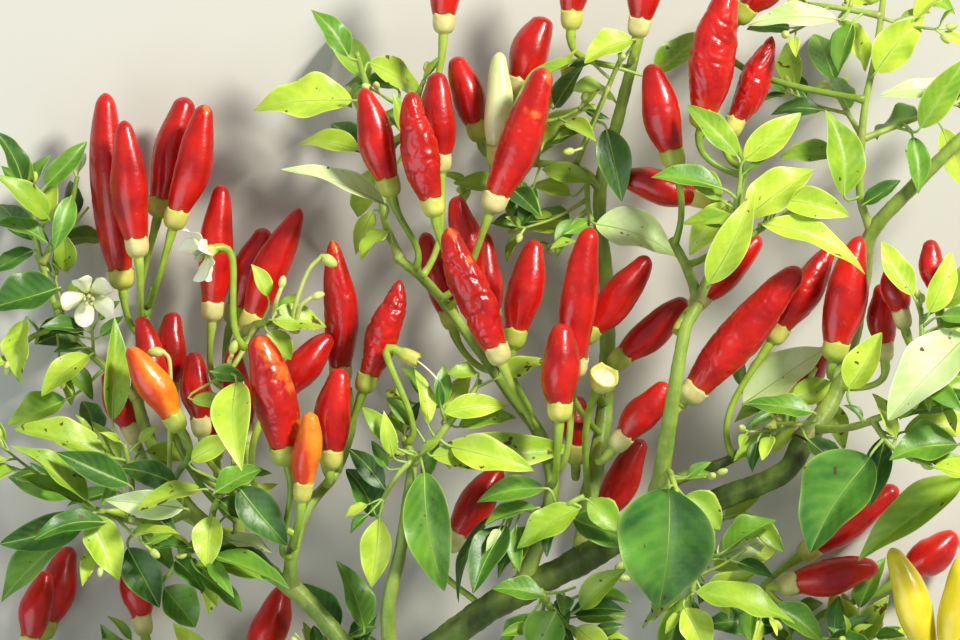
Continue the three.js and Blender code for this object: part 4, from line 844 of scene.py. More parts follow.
def pod_skin(plan, rows, around, seed):
    """The skin of a pod: the radius follows the pod's share, bulges in three faint lobes, and is dented or
    wrinkled. The axis bows to one side and wavers a little. The foot is rounded off inside the calyx."""
    draw = np.random.default_rng(seed)
    u = (1 - np.cos(np.pi * np.linspace(0, 1, rows))) / 2 * (1 + POD_SINK) - POD_SINK
    u[-1] = POD_END
    theta = angles_round(around)
    length = np.linalg.norm(plan["tip"] - plan["foot"])
    across = u[:, None]
    bell = np.clip(np.sin(np.pi * np.clip(across, 0, 1)), 0, 1) ** RELIEF_SPREAD
    phase = draw.uniform(0, 2 * np.pi, 4)
    lobes = sum(height * np.cos(count * theta + turn + lean * across)
                for (height, count, lean), turn in zip(LOBES, phase))
    relief = WRINKLED.get(plan["name"], SMOOTH_DEPTH) * wrinkles(across, theta, length, draw)
    taper = POINTED.get(plan["name"], draw.uniform(*TAPER_DRAW))
    share = pod_share(across, draw.uniform(*FOOT_DRAW), taper, TIP_CLOSE)
    heel = 1 - HEEL * np.clip((HEEL_FROM - across) / HEEL_RUN, 0, 1) ** 2
    radius = plan["girth"] / 2 * share * heel * (1 + lobes * bell) + bell * relief
    waver = WAVER * np.sin(WAVER_RUN * u + phase[3])[:, None] * bell
    path = (plan["foot"] + (plan["tip"] - plan["foot"]) * across
            + plan["left"] * (4 * plan["bow"] * across * (1 - across) + waver))
    rings = skin_round(path, np.maximum(radius, THINNEST), around)
    # The patch value carries the ripe pods' painted glints as well as their mottling.
    values = dict(along=np.clip(across, 0, 1), patch=patch_and_glint_on(plan, across, rings, path))
    return dict(rings=rings, values=values)


def worked_out(material, operation, *terms):
    """What an operation makes of its terms, in the finish."""
    node = material.node_tree.nodes.new("ShaderNodeMath")
    node.operation = operation
    feed(material, node.inputs, terms)
    return node.outputs[0]


def pod_finish(name, deep, bright, foot, other, ragged_edge=1.5):
    """Pod skin: waxy and glossy, clouded between a deep and a bright colour, paler near the calyx, with the
    pod's own patches in another colour, broken up at their edges. On the ripe pods these orange patches lie
    where the skin faces the light and are partly a painted glint."""
    material, shader = new_finish(name, roughness=0.3, coat=0.28)
    clouds = noise(material, waves=130, detail=4.0)
    clouds = ramp(material, clouds, [(0.34, paint(deep)), (0.64, paint(bright))])
    paler = ramp(material, value_at(material, "along"), [(0.02, WHITE), (0.09, BLACK)])
    body = mixed(material, paler, clouds, paint(foot))
    # The patches: on the ripe pods partly a painted glint where the skin faces the light.
    half = worked_out(material, "SUBTRACT", value_at(material, "patch"), 0.48 * ragged_edge)
    ragged = worked_out(material, "MULTIPLY_ADD", noise(material, waves=650, detail=4.0), ragged_edge, half)
    patches_and_glints = ramp(material, ragged, [(0.25, BLACK), (0.85, (0.85, 0.85, 0.85, 1))])
    colour_by(material, shader, mixed(material, patches_and_glints, body, paint(other)))
    shader.inputs["Subsurface Weight"].default_value = 0.06
    shader.inputs["Subsurface Radius"].default_value = (0.002, 0.0006, 0.0003)
    shader.inputs["Subsurface Scale"].default_value = 1.0
    grain(material, shader, noise(material, waves=1100, detail=4.0), height=0.08)
    return material


# The ripe pods' other colour, orange, is partly a painted glint on the side that faces the light.
POD_FINISHES = dict(
    ripe=pod_finish("ripe_pod", deep=0xA00B06, bright=0xCE1A0C, foot=0xB8300E, other=0xE8782A),
    turning=pod_finish("turning_pod", deep=0xE4690E, bright=0xF2941E, foot=0xEAA030, other=0xCC2A0C,
                       ragged_edge=0.5),
    unripe=pod_finish("unripe_pod", deep=0xD0BC1C, bright=0xE6D636, foot=0xC2CC46, other=0xE6A828),
    immature=pod_finish("immature_pod", deep=0xC8D484, bright=0xE4E8AE, foot=0xB4C466, other=0xE0B890),
)
POD_SLOTS = dict(ripe="ripe_pod", turning="turning_pod", unripe="unripe_pod", immature="unripe_pod")

STALK_SIDES = 25
STALK_ROWS = 19
CALYX_ROWS = 16
CALYX_REACH = 1.07
CALYX_FOOT = 0.26
CALYX_SHOULDER = 0.62
CALYX_FLARE = 0.06
CALYX_GAP = 0.2
SEAT_FLARE = 0.6
SEAT_REACH = 1.4
TOP_FLARE = 0.5
SLIMMEST = 0.96
TEETH = 5
TOOTH_LENGTH = 0.6
TOOTH_RIDGE = 0.04
RIM_TURNED_IN = ((0.12, 0.3), (0.3, 1.8))
CUP_SPACING = 1.5
CUP_PALING = 2.4
CUP_GREEN = 0.3


def stalk_skin(plan, seed):
    """The stalk and the calyx as one skin. The stalk is thickest at its seat and under the calyx. The calyx
    is a bell: it opens as a quarter circle does and then runs straight to its rim, where five small teeth
    stand out along it. The rim turns in to a floor that lies under the pod."""
    draw = np.random.default_rng(seed)
    cup = plan.get("cup", plan["girth"] / 2 * FOOT_SHARE + CALYX_GAP)
    run = np.concatenate([np.linspace(0, 1, STALK_ROWS)[:-1],
                          1 + np.linspace(0, 1, CALYX_ROWS) ** CUP_SPACING])
    stalk_run = np.minimum(run, 1) * plan["stalk"].length
    beyond = np.maximum(run - 1, 0)
    reach = plan["calyx"] * CALYX_REACH
    path = plan["stalk"].at(stalk_run) + plan["direction"] * (beyond * reach)[:, None]
    stalk = SLIMMEST + SEAT_FLARE * np.exp(-stalk_run / SEAT_REACH) + TOP_FLARE * np.minimum(run, 1) ** 8
    stalk = STALK_RADIUS * stalk
    opening = np.clip((beyond - CALYX_FOOT) / (1 - CALYX_FOOT), 0, 1)
    straight = 1 + CALYX_FLARE * (opening - CALYX_SHOULDER)
    opening = np.sqrt(1 - (1 - np.minimum(opening / CALYX_SHOULDER, 1)) ** 2) * straight
    radius = stalk + (cup - stalk) * opening
    theta = angles_round(STALK_SIDES)
    turn = draw.uniform(0, 2 * np.pi)
    tooth = np.clip(np.cos(TEETH * theta + turn), 0, 1) ** 3
    radius = radius[:, None] * (1 + TOOTH_RIDGE * np.cos(TEETH * theta + turn) * beyond[:, None])
    rings = skin_round(path, radius, STALK_SIDES)
    rings += plan["direction"] * (TOOTH_LENGTH * tooth * beyond[:, None] ** 8)[..., None]
    inside = [rings[-1] + (path[-1] - rings[-1]) * inward - plan["direction"] * depth
              for inward, depth in RIM_TURNED_IN]
    paler = np.concatenate([np.clip(beyond * CUP_PALING - CUP_GREEN, 0, 1), np.ones(len(inside))])
    return dict(rings=np.concatenate([rings, inside]), values=dict(cup=paler[:, None]))


def stalk_finish(name, stalk, cup):
    """Stalk skin, from fresh green on the stalk to the paler wax of the calyx."""
    material, shader = new_finish(name, roughness=0.38)
    green = mixed(material, value_at(material, "cup"), paint(stalk), paint(cup))
    shade = ramp(material, noise(material, waves=300), [(0.3, (0.72, 0.72, 0.6, 1)), (0.7, WHITE)])
    colour_by(material, shader, mixed(material, 1.0, green, shade, "MULTIPLY"))
    grain(material, shader, noise(material, waves=1200, detail=2.0), height=0.06)
    return material


STALK_FINISHES = [stalk_finish("stalk_fresh", 0x9ABA38, 0xD6D66A),
                  stalk_finish("stalk_pale", 0xA8C24A, 0xE2DA92),
                  stalk_finish("stalk_green", 0x84A634, 0xB8C650)]
POD_SEED = 300
STALK_SEED = 600
SMALL_POD_GRID = (40, 28)
POD_GRID = (56, 40)
WRINKLED_GRID = (110, 72)

for number, cluster in enumerate(CLUSTERS):
    plans = [] if cluster.get("flower") or cluster.get("spent") else cluster["plans"]
    small = []
    for i, plan in enumerate(plans):
        seed = POD_SEED + SEEDS_APART * number + i
        if cluster.get("fused"):
            small.append((plan["ripeness"], pod_skin(plan, *SMALL_POD_GRID, seed)))
        else:
            skin = pod_skin(plan, *(WRINKLED_GRID if plan["name"] in WRINKLED else POD_GRID), seed)
            make_piece(f"{plan['name']}_fruit", [skin], [POD_FINISHES[plan["ripeness"]]],
                       POD_SLOTS[plan["ripeness"]], [plan["name"]])
    for ripeness in sorted({kind for kind, _ in small}):
        make_piece(f"{cluster['name']}_{ripeness}", [skin for kind, skin in small if kind == ripeness],
                   [POD_FINISHES[ripeness]], POD_SLOTS[ripeness])
    if plans:
        stalks = [dict(stalk_skin(plan, STALK_SEED + SEEDS_APART * number + i),
                       finish=(number + i) % len(STALK_FINISHES)) for i, plan in enumerate(plans)]
        make_piece(f"{cluster['name']}_stalks", stalks, STALK_FINISHES, "green_stem")


# Spent calyxes. Two pods have gone from theirs. One is an open cup with the pale scar of the pod in it, and
# the other a nodding bell that still holds the flower's white style.
scar_finish = clouded_finish("scar", 0.6, 500, (0.35, 0xE2B99A), (0.6, 0xEFE0B8))
style_finish = clouded_finish("style", 0.5, 700, (0.3, 0xE8E6C8), (0.7, 0xF4F2E4))
SPENT_CUPS = dict(empty_calyx=3.7, spent_calyx=1.9)
SPENT_SEED = 21
SCAR_RADIUS = 3.1
SCAR_HEIGHT = 1.6
SCAR_SINK = 1.5
STYLE_LENGTH = 7
STYLE_DROOP = 2.2
STYLE_RADIUS = 0.2
STYLE_SWELLING = 0.12
NEAR_ENDS = (0.02, 0.98)


def scar_skin(plan):
    """The scar in an empty cup: a low cushion whose radius follows a half circle along the cup's axis."""
    t = np.linspace(*NEAR_ENDS, 8)
    path = plan["foot"] + plan["direction"] * (SCAR_HEIGHT * t - SCAR_SINK)[:, None]
    return dict(rings=skin_round(path, SCAR_RADIUS * np.sqrt(1 - (2 * t - 1) ** 2), 24))


def style_skin(plan):
    """The style: a thin thread from the bell's mouth, bent by its own weight and swollen at its end."""
    t = np.linspace(0, 1, 16)[:, None]
    path = plan["foot"] + plan["direction"] * (STYLE_LENGTH * t - 1) - np.array([0, STYLE_DROOP, 0]) * t**2
    return dict(rings=skin_round(path, STYLE_RADIUS + STYLE_SWELLING * t[:, 0] ** 6, 8))


HEARTS = dict(empty_calyx=(scar_skin, scar_finish), spent_calyx=(style_skin, style_finish))
for cluster in CLUSTERS:
    name = cluster["name"]
    if cluster.get("spent"):
        plan = dict(cluster["plans"][0], cup=SPENT_CUPS[name])
        make_piece(f"{name}_cup", [stalk_skin(plan, SPENT_SEED)], STALK_FINISHES[:1], "green_stem")
        heart_skin, finish = HEARTS[name]
        make_piece(f"{name}_heart", [heart_skin(plan)], [finish], "green_stem")


# Leaves. Each is a thin blade on a short stalk, folded along its pale midrib, arched to its pointed tip and
# quilted between its side veins. They are dealt out by the rule that grew the solids, leaf by leaf, and each
# stays clear of all that has grown before it.
LEAF_ARCH = 0.07
LEAF_FOLD = 0.3
LEAF_CLEARANCE = 1.0
LEAF_SAMPLE_STEP = 1.2
LEAF_BEAD_RADIUS = 0.3
STALK_LEAD = 2
STALK_CLEARANCE = 0.5
STALK_GROUND_CLEARANCE = 1
LEAF_SHIFTS = (0, 3, -3, 6, -6, 9, -9, 13, -13)
FOOT_SHIFT = 0.6
LEAF_STALK_RADIUS = 0.5
FREE_FOOT = 3
SUNWARD = np.array([0, 0.6, 0.8])
RULE_SEED = 100
RULE_LENGTH = (13, 11)
FURTHER = dict(place=(0.25, 0.75), rise=(-0.3, 0.8), low_rise=(-0.9, 0.5), out=(4, 3), width=(0.38, 0.1),
               roll=(-20, 40))
LOWEST_TIP = 2
LOWEST_FOOT = 4
LEAF_SHAPE = (0.85, 0.9)


def random_stream(seed):
    """Numbers from 0 to 1, the same as the solids' own: a counter whose bits are mixed by two products."""
    state = seed
    while True:
        state = (state + 0x6D2B79F5) & 0xFFFFFFFF
        t = ((state ^ state >> 15) * (1 | state)) & 0xFFFFFFFF
        t = ((t + ((t ^ t >> 7) * (61 | t))) & 0xFFFFFFFF) ^ t
        yield (t ^ t >> 14) / 4294967296


def pick(draws, pair):
    """A drawn number, no less than the first of the pair and no further above it than the second."""
    return pair[0] + pair[1] * next(draws)


def blade_share(t, early, blunt):
    """Half a blade's width at a share t of its length, as a share of its greatest: half a wave, which a power
    of t below one draws towards the foot, and a power of its own below one makes blunter."""
    return np.sin(np.pi * t**early) ** blunt


def leaf_plan(foot, tip, width, roll):
    """Where a blade lies: its ends, the way it faces, turned to the sun and rolled, and the way across."""
    length = np.linalg.norm(tip - foot)
    direction = (tip - foot) / length
    face = unit(SUNWARD - direction * (SUNWARD @ direction))
    face = face * math.cos(math.radians(roll)) + np.cross(direction, face) * math.sin(math.radians(roll))
    return dict(foot=foot, tip=tip, width=width, length=length, direction=direction, face=face,
                across=np.cross(face, direction))


def leaf_samples(plan):
    """Positions all over a blade, at shares t of its length and u of its half width, from -1 to 1."""
    rows = math.ceil(plan["length"] / LEAF_SAMPLE_STEP)
    columns = math.ceil(plan["width"] / 2 / LEAF_SAMPLE_STEP)
    t, u = np.meshgrid(np.arange(rows + 1) / rows, np.arange(-columns, columns + 1) / columns, indexing="ij")
    half = (plan["width"] / 2 * blade_share(t, *LEAF_SHAPE))[..., None]
    t, u = t[..., None], u[..., None]
    blade = (plan["foot"] + (plan["tip"] - plan["foot"]) * t + plan["across"] * half * u
             + plan["face"] * (4 * LEAF_ARCH * plan["length"] * t * (1 - t) + LEAF_FOLD * half * np.abs(u)))
    return blade.reshape(-1, 3)


def fill_leaf(spray, draws, lengths):
    """A further leaf: its foot near one of the spray's stems, and its length in any direction. Half of those
    of a low spray point steeply down."""
    rule = stems[spray["own"][int(next(draws) * len(spray["own"]))]]["rule"]
    start = rule.at(rule.length * pick(draws, FURTHER["place"]))
    turn = next(draws) * 2 * math.pi
    low = spray.get("low", False) and next(draws) < 0.5
    rise = pick(draws, FURTHER["low_rise" if low else "rise"])
    level = math.sqrt(1 - rise * rise)
    direction = np.array([math.cos(turn) * level, math.sin(turn) * level, rise])
    length = pick(draws, lengths)
    foot = start + direction * pick(draws, FURTHER["out"])
    tip = foot + direction * length
    tip[2] = max(tip[2], GROUND + LOWEST_TIP)
    foot[2] = max(foot[2], GROUND + LOWEST_FOOT)
    return foot, tip, length * pick(draws, FURTHER["width"]), pick(draws, FURTHER["roll"])


# The pods, the flowers, the bare shoots and the leaves dealt so far stay in the light: no further leaf grows
# over them. Nor does one grow where others hide it, or outside the box of its own solid.
lit = dict(at=np.zeros((0, 3)), radius=np.zeros(0))
LIT_MARGIN = 0.6
SHADE_SEARCH = 7
SHADE_LIMIT = 0.08
HIDDEN_SEARCH = 2
HIDDEN_LIMIT = 0.55
BOX_MARGIN = 3
BOX_GROUND = 2.5
LIT_LEAF_RADIUS = 0.4
BARE_SHOOTS = ("main_stem", "near_shoot", "right_shoot", "tall_shoot", "middle_shoot")


def keep_lit(at, radius):
    """Keeps beads that later leaves don't grow over."""
    lit["at"] = np.vstack([lit["at"], at])
    lit["radius"] = np.concatenate([lit["radius"], np.broadcast_to(radius, len(at))])


def share_across(samples, kept, search, above):
    """The share of samples that lie over a kept bead, or under one, as seen from straight above."""
    near = ((kept["at"][:, :2] > samples[:, :2].min(axis=0) - search).all(axis=1)
            & (kept["at"][:, :2] < samples[:, :2].max(axis=0) + search).all(axis=1))
    at, radius = kept["at"][near], kept["radius"][near]
    off = np.linalg.norm(at[None, :, :2] - samples[:, None, :2], axis=2)
    beyond = samples[:, None, 2] > at[None, :, 2] if above else samples[:, None, 2] < at[None, :, 2]
    return ((off < radius + LIT_MARGIN) & beyond).any(axis=1).mean()


def shades_others(samples):
    """Whether more than a small share of the samples lies over a kept bead."""
    return share_across(samples, lit, SHADE_SEARCH, above=True) > SHADE_LIMIT


def in_box(box, points):
    """Whether all points lie in a spray's box, with a small margin, and well above the ground."""
    return bool((points > box[0] - BOX_MARGIN).all() and (points < box[1] + BOX_MARGIN).all()
                and (points[:, 2] > GROUND + BOX_GROUND).all())


def is_kept_off(spray, samples):
    """Whether a further leaf would leave its box, take another's light or be hidden."""
    return (not in_box(spray["box"], samples) or shades_others(samples)
            or share_across(samples, beads, HIDDEN_SEARCH, above=False) > HIDDEN_LIMIT)


def grow_leaf(spray, foot, tip, width, roll, shifts=LEAF_SHIFTS, clearance=LEAF_CLEARANCE):
    """Plans a leaf at its place, or a little higher or lower, if it is clear of all else there. The further
    leaves have a smaller clearance and keep the rules on light and reach."""
    owner = f"{spray['name']}_leaf_{len(spray['grown']) + 1}"
    for shift in shifts:
        foot_shift, tip_shift = np.array([0, 0, FOOT_SHIFT * shift]), np.array([0, 0, shift])
        plan = leaf_plan(foot + foot_shift, tip + tip_shift, width, roll)
        samples = leaf_samples(plan)
        samples = samples[np.linalg.norm(samples - plan["foot"], axis=1) > FREE_FOOT]
        rules = [stems[name]["rule"] for name in spray["own"]]
        runs = [max(rule.nearest(plan["foot"]) - STALK_LEAD, FREE_FOOT) for rule in rules]
        starts = [rule.at(run) for rule, run in zip(rules, runs)]
        best = int(np.argmin([np.linalg.norm(start - plan["foot"]) for start in starts]))
        stalk = Line([starts[best], plan["foot"]])
        along = stalk.at(bead_lengths(stalk))
        if ((samples[:, 2] < GROUND + GROUND_CLEARANCE).any()
                or (along[:, 2] < GROUND + STALK_GROUND_CLEARANCE).any()
                or too_close(samples, 0, clearance)
                or (clearance < LEAF_CLEARANCE and is_kept_off(spray, samples))
                or too_close(along, LEAF_STALK_RADIUS, STALK_CLEARANCE, spray["own"] + spray["grown"])):
            continue
        add_beads(samples, LEAF_BEAD_RADIUS, owner)
        add_beads(along, LEAF_STALK_RADIUS, owner)
        spray["grown"].append(owner)
        smooth = stems[spray["own"][best]]["smooth"]
        share = min(runs[best], rules[best].length) / rules[best].length
        return dict(plan, start=smooth.at(share * smooth.length))
    return None


for index, spray in enumerate(SPRAYS):
    draws = random_stream(RULE_SEED + index)
    spray["grown"] = []
    spray["planned"] = [grow_leaf(spray, np.array(foot, float), np.array(tip, float), width, roll)
                        for foot, tip, width, roll in spray["leaves"]]
    spray["planned"] += [grow_leaf(spray, *fill_leaf(spray, draws, RULE_LENGTH))
                         for _ in range(spray["fill"])]

for cluster in CLUSTERS:
    for plan in cluster["plans"]:
        at, radius, _ = pod_beads(plan)
        keep_lit(at, np.where(radius > STALK_RADIUS, radius, 0))
for name in BARE_SHOOTS:
    keep_lit(stems[name]["smooth"].positions, stems[name]["radii"][1])
for spray in SPRAYS:
    for plan in spray["planned"]:
        if plan is not None:
            keep_lit(leaf_samples(plan), LIT_LEAF_RADIUS)


# Young growth, on finer twigs by the same rule. A twig leaves a stem of its spray, bends to the light and
# bears small leaves to both sides, and every stem ends in a tuft of narrow leaves round a bud or two. Smaller
# leaves on the older stems fill what room is left. Pairs of counts are for a sparse spray and a full one.
YOUNG_SEED = 700
YOUNG_RADII = (0.5, 0.34)
YOUNG_RING_STEP = TWIG_RING_STEP / 3
YOUNG_TWIGS = (12, 40)
FILL_LEAVES = (18, 110)
FILL_LENGTH = (11, 10)
SMALL_LEAVES = (10, 70)
SMALL_LENGTH = (6, 6)
YOUNG_LEAVES = 6
YOUNG_SHIFTS = (0, 2, -2, 4)
YOUNG_CLEARANCE = 0.6
YOUNG_STALK = 2.6
TWIG_BEND = 0.15
FIRST_LEAF = 0.3
LEAST_LEVEL = 0.05
YOUNG = dict(place=(0.1, 0.85), rise=(-0.5, 1.3), length=(9, 10), ahead=(0.3, 0.7), aside=(0.5, 0.5),
             sunward=(-0.4, 0.8), reach=(7, 8), roll=(-25, 50), width=(0.4, 0.1))
TUFT = dict(lean=(22, 34), bud=(3.4, 1.4), leaf=(5, 5), width=(0.3, 0.1), roll=(-30, 60))
TUFT_LEAVES = 4
TIP_TUFT_LEAVES = 7
YOUNG_TUFT_LEAVES = 3
TUFT_BUDS = 2
TUFT_TURN = 0.39
TUFT_CLEARANCE = 0.4
TUFT_SEAT = 0.4
BUD_STALK = 2.2
TUFT_STALK = 1.4
TIPS = dict(centre_leaves=["near_shoot"])


def grow_twig(spray, draws, number):
    """Plans a finer twig in any direction, if there is room for it, with leaves on alternate sides. A twig on
    which no leaf finds room is given up."""
    bearer = spray["own"][int(next(draws) * len(spray["own"]))]
    rule = stems[bearer]["rule"]
    start = rule.at(rule.length * pick(draws, YOUNG["place"]))
    turn, rise = next(draws) * 2 * math.pi, pick(draws, YOUNG["rise"])
    level = math.sqrt(max(LEAST_LEVEL, 1 - rise * rise))
    direction = unit(np.array([math.cos(turn) * level, math.sin(turn) * level, rise]))
    length = pick(draws, YOUNG["length"])
    end = start + direction * length + SUNWARD * TWIG_BEND * length
    path = [start, start + direction * length * 0.5, end]
    line = trace(path)
    along = line.at(bead_lengths(line)[2:])
    if (not in_box(spray["box"], along) or shades_others(along)
            or too_close(along, YOUNG_RADII[0], STALK_CLEARANCE, spray["own"] + spray["grown"])):
        return
    name = f"{spray['name']}_young_{number}"
    kept = len(beads["radius"])
    grow_stem(name, path, YOUNG_RADII, bearer, YOUNG_RING_STEP)
    twig = dict(name=name, own=[name], grown=[], box=spray["box"])
    side = unit(np.cross(direction, SUNWARD))
    leaves = []
    for leaf in range(YOUNG_LEAVES):
        share = FIRST_LEAF + (1 - FIRST_LEAF) * leaf / YOUNG_LEAVES
        lean = unit(direction * pick(draws, YOUNG["ahead"])
                    + side * (1 if leaf % 2 else -1) * pick(draws, YOUNG["aside"])
                    + SUNWARD * pick(draws, YOUNG["sunward"]))
        reach = pick(draws, YOUNG["reach"])
        foot = line.at(share * line.length) + lean * YOUNG_STALK
        roll = pick(draws, YOUNG["roll"])
        leaves.append(grow_leaf(twig, foot, foot + lean * reach, reach * pick(draws, YOUNG["width"]), roll,
                                YOUNG_SHIFTS, YOUNG_CLEARANCE))
    leaves = [leaf for leaf in leaves if leaf]
    if leaves:
        spray["young"].append(name)
        spray["planned"] += leaves
    else:
        beads.update({key: values[:kept] for key, values in beads.items()})
        stems[bearer]["forks"].pop()


def grow_tuft(spray, name, draws, leaves):
    """Plans the tuft at a stem's end: narrow leaves that lean out from it all round, and then its buds."""
    line = stems[name]["smooth"]
    end = line.at(line.length)
    ahead = unit(end - line.at(line.length - 2))
    first, second = sides_of(np.array([end - ahead, end, end + ahead]))
    turn = next(draws) * 2 * math.pi
    for leaf in range(leaves + TUFT_BUDS):
        bud = leaf >= leaves
        turn += 2 * math.pi * TUFT_TURN
        lean = math.radians(pick(draws, TUFT["lean"]))
        direction = (ahead * math.cos(lean)
                     + (first[1] * math.cos(turn) + second[1] * math.sin(turn)) * math.sin(lean))
        reach = pick(draws, TUFT["bud"] if bud else TUFT["leaf"])
        foot = end + direction * (BUD_STALK if bud else TUFT_STALK)
        width = reach * pick(draws, TUFT["width"])
        plan = leaf_plan(foot, foot + direction * reach, width, pick(draws, TUFT["roll"]))
        samples = leaf_samples(plan)
        own = spray["own"] + spray["young"] + spray["grown"] + [name]
        if (not in_box(spray["box"], samples) or too_close(samples, 0, TUFT_CLEARANCE, own)
                or shades_others(samples)):
            continue
        owner = f"{spray['name']}_tuft_{len(spray['grown']) + 1}"
        add_beads(samples, LEAF_BEAD_RADIUS, owner)
        spray["grown"].append(owner)
        spray["buds" if bud else "planned"].append(dict(plan, start=end - ahead * TUFT_SEAT))


def fill(spray, draws, count, lengths, shifts):
    """Plans so many further leaves, each only if there is room for it."""
    spray["planned"] += [grow_leaf(spray, *fill_leaf(spray, draws, lengths), shifts, YOUNG_CLEARANCE)
                         for _ in range(count)]


for index, spray in enumerate(SPRAYS):
    draws, full = random_stream(YOUNG_SEED + index), spray.get("full", False)
    box = [np.array(corner) / MM - BRANCH_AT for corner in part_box(spray["name"])]
    spray.update(young=[], buds=[], box=box)
    tips = TIPS.get(spray["name"], [])
    for name in spray["own"] + tips:
        grow_tuft(spray, name, draws, TIP_TUFT_LEAVES if name in tips else TUFT_LEAVES)
    fill(spray, draws, FILL_LEAVES[full], FILL_LENGTH, LEAF_SHIFTS)
    for number in range(YOUNG_TWIGS[full]):
        grow_twig(spray, draws, number + 1)
    fill(spray, draws, SMALL_LEAVES[full], SMALL_LENGTH, YOUNG_SHIFTS)
    for name in spray["young"]:
        grow_tuft(spray, name, draws, YOUNG_TUFT_LEAVES)


# Blades and ribs. What has been planned is drawn here: each leaf as a blade with an upper and an under side,
# and a rib that is its stalk and its midrib. The leaves of a spray are joined, and so are its ribs, its finer
# twigs and its buds.
VEINS = 7
VEIN_LEAN = 0.26
VEIN_DEPTH = 0.09
VEIN_PALE = 0.24
MIDRIB_PALE = 0.3
MIDRIB = 0.14
QUILT_RISE = 5
FULL_WIDTH = 8
BLADE = 0.26
BLADE_ENDS = (0.004, 0.996)
EDGE = 0.86
WAVES = (1.7, 2.1)
FOLD_ROUND = 0.02
FOLD_LOWERED = 0.14
FOLD_DRAW = (1.2, 2.3)
BROAD_FOLD = 1.35
BLUNT_DRAW = (0.72, 1.05)
RIPPLE_DRAW = (0.03, 0.1)
BEND_DRAW = (-0.05, 0.05)
DROOP_DRAW = (0.0, 1.3)
LEAF_DROOP = 0.1
DRAWN_SHAPE = (0.75, 1)
BROAD_SHAPE = (0.62, 1)
TWIST = 0.4
TWIST_FROM = 0.3
GIVE = 0.6
GIVE_FROM = 0.4
RIB_LIFT = 0.05
STEPS_OF_STALK = 6
STALK_BEND = 0.35
STALK_THINNING = 0.18
MIDRIB_THINNING = 0.26
MIDRIB_CURVE = 0.7
YOUNG_BUD_SHARE = 0.75
YOUNG_BUD_GIRTH = 0.3
YOUNG_BUD_EGG = (1.12, 0.3)
YOUNG_BUD_STALK_RADIUS = 0.34
BUD_TIP_RADIUS = 0.05


def leaf_skin(plan, rows, columns, draw, shape=DRAWN_SHAPE, folded=1):
    """A blade and its under side as one skin: each ring crosses the upper side from edge to edge and comes
    back underneath. Side veins run forward from the midrib in shallow grooves, the blade bulges between them,
    its edges wave, its tip droops, and where it would pass into the ground it bends to lie on it."""
    t = np.clip((1 - np.cos(np.pi * np.linspace(0, 1, rows))) / 2, *BLADE_ENDS)[:, None]
    row = np.sin(np.pi / 2 * np.linspace(-1, 1, columns))
    u = np.concatenate([row, row[-2:0:-1]])[None]
    upper = np.concatenate([np.ones(columns), -np.ones(columns - 2)])[None]
    phase = draw.uniform(0, 2 * np.pi, 4)
    side = VEINS * (t - VEIN_LEAN * np.abs(u)) + 0.5 * (u > 0)
    inside = np.clip(np.abs(u) * QUILT_RISE, 0, 1) * (1 - u**4) * np.sin(np.pi * t) ** 0.5
    quilt = VEIN_DEPTH * inside * (0.5 - 0.5 * np.cos(2 * np.pi * side)) * min(1, plan["width"] / FULL_WIDTH)
    one_side, other = (np.sin(2 * np.pi * count * t + start) for count, start in zip(WAVES, phase))
    wave = np.where(u > 0, one_side, other)
    ripple = draw.uniform(*RIPPLE_DRAW) * plan["width"] * wave * u**2 * np.sin(np.pi * t)
    bend = draw.uniform(*BEND_DRAW) * plan["length"] * np.sin(np.pi * t)
    droop = -LEAF_DROOP * plan["length"] * t**3 * draw.uniform(*DROOP_DRAW)
    twist = TWIST * np.sin(phase[2]) * (t - TWIST_FROM)
    half = plan["width"] / 2 * blade_share(t, shape[0], shape[1] * draw.uniform(*BLUNT_DRAW))
    fold = LEAF_FOLD * draw.uniform(*FOLD_DRAW) * folded
    sink = 0.5 * max(0, fold - LEAF_FOLD)
    arch = 4 * LEAF_ARCH * plan["length"] * t * (1 - t) + droop
    folded_up = half * (fold * (np.sqrt(u**2 + FOLD_ROUND) - FOLD_LOWERED) - sink)
    height = arch + folded_up + ripple + twist * half * u + quilt
    height = height + upper * BLADE / 2 * np.sqrt(np.clip(1 - u**2, 0, 1)) * np.sin(np.pi * t) ** 0.5
    middle = plan["foot"] + (plan["tip"] - plan["foot"]) * t
    rings = (plan["foot"] + (plan["tip"] - plan["foot"]) * t[..., None]
             + plan["across"] * (half * u + bend)[..., None] + plan["face"] * height[..., None])
    rib = middle + plan["across"] * bend + plan["face"] * (arch + RIB_LIFT - sink * half)
    for skin in (rings, rib):
        above = (skin[..., 2] + BRANCH_AT[2]) / GIVE
        skin[..., 2] = GIVE * np.log1p(np.exp(above - GIVE_FROM)) - BRANCH_AT[2]
    edge = np.clip((np.abs(u) - EDGE) / (1 - EDGE), 0, 1) ** 2
    vein = VEIN_PALE * inside * (0.5 + 0.5 * np.cos(2 * np.pi * side)) ** 2
    vein = vein + MIDRIB_PALE * np.exp(-((u / MIDRIB) ** 2))
    values = dict(edge=np.broadcast_to(edge, rings.shape[:2])[:, ::-1], along=t, vein=vein[:, ::-1])
    return dict(rings=rings[:, ::-1], values=values), rib


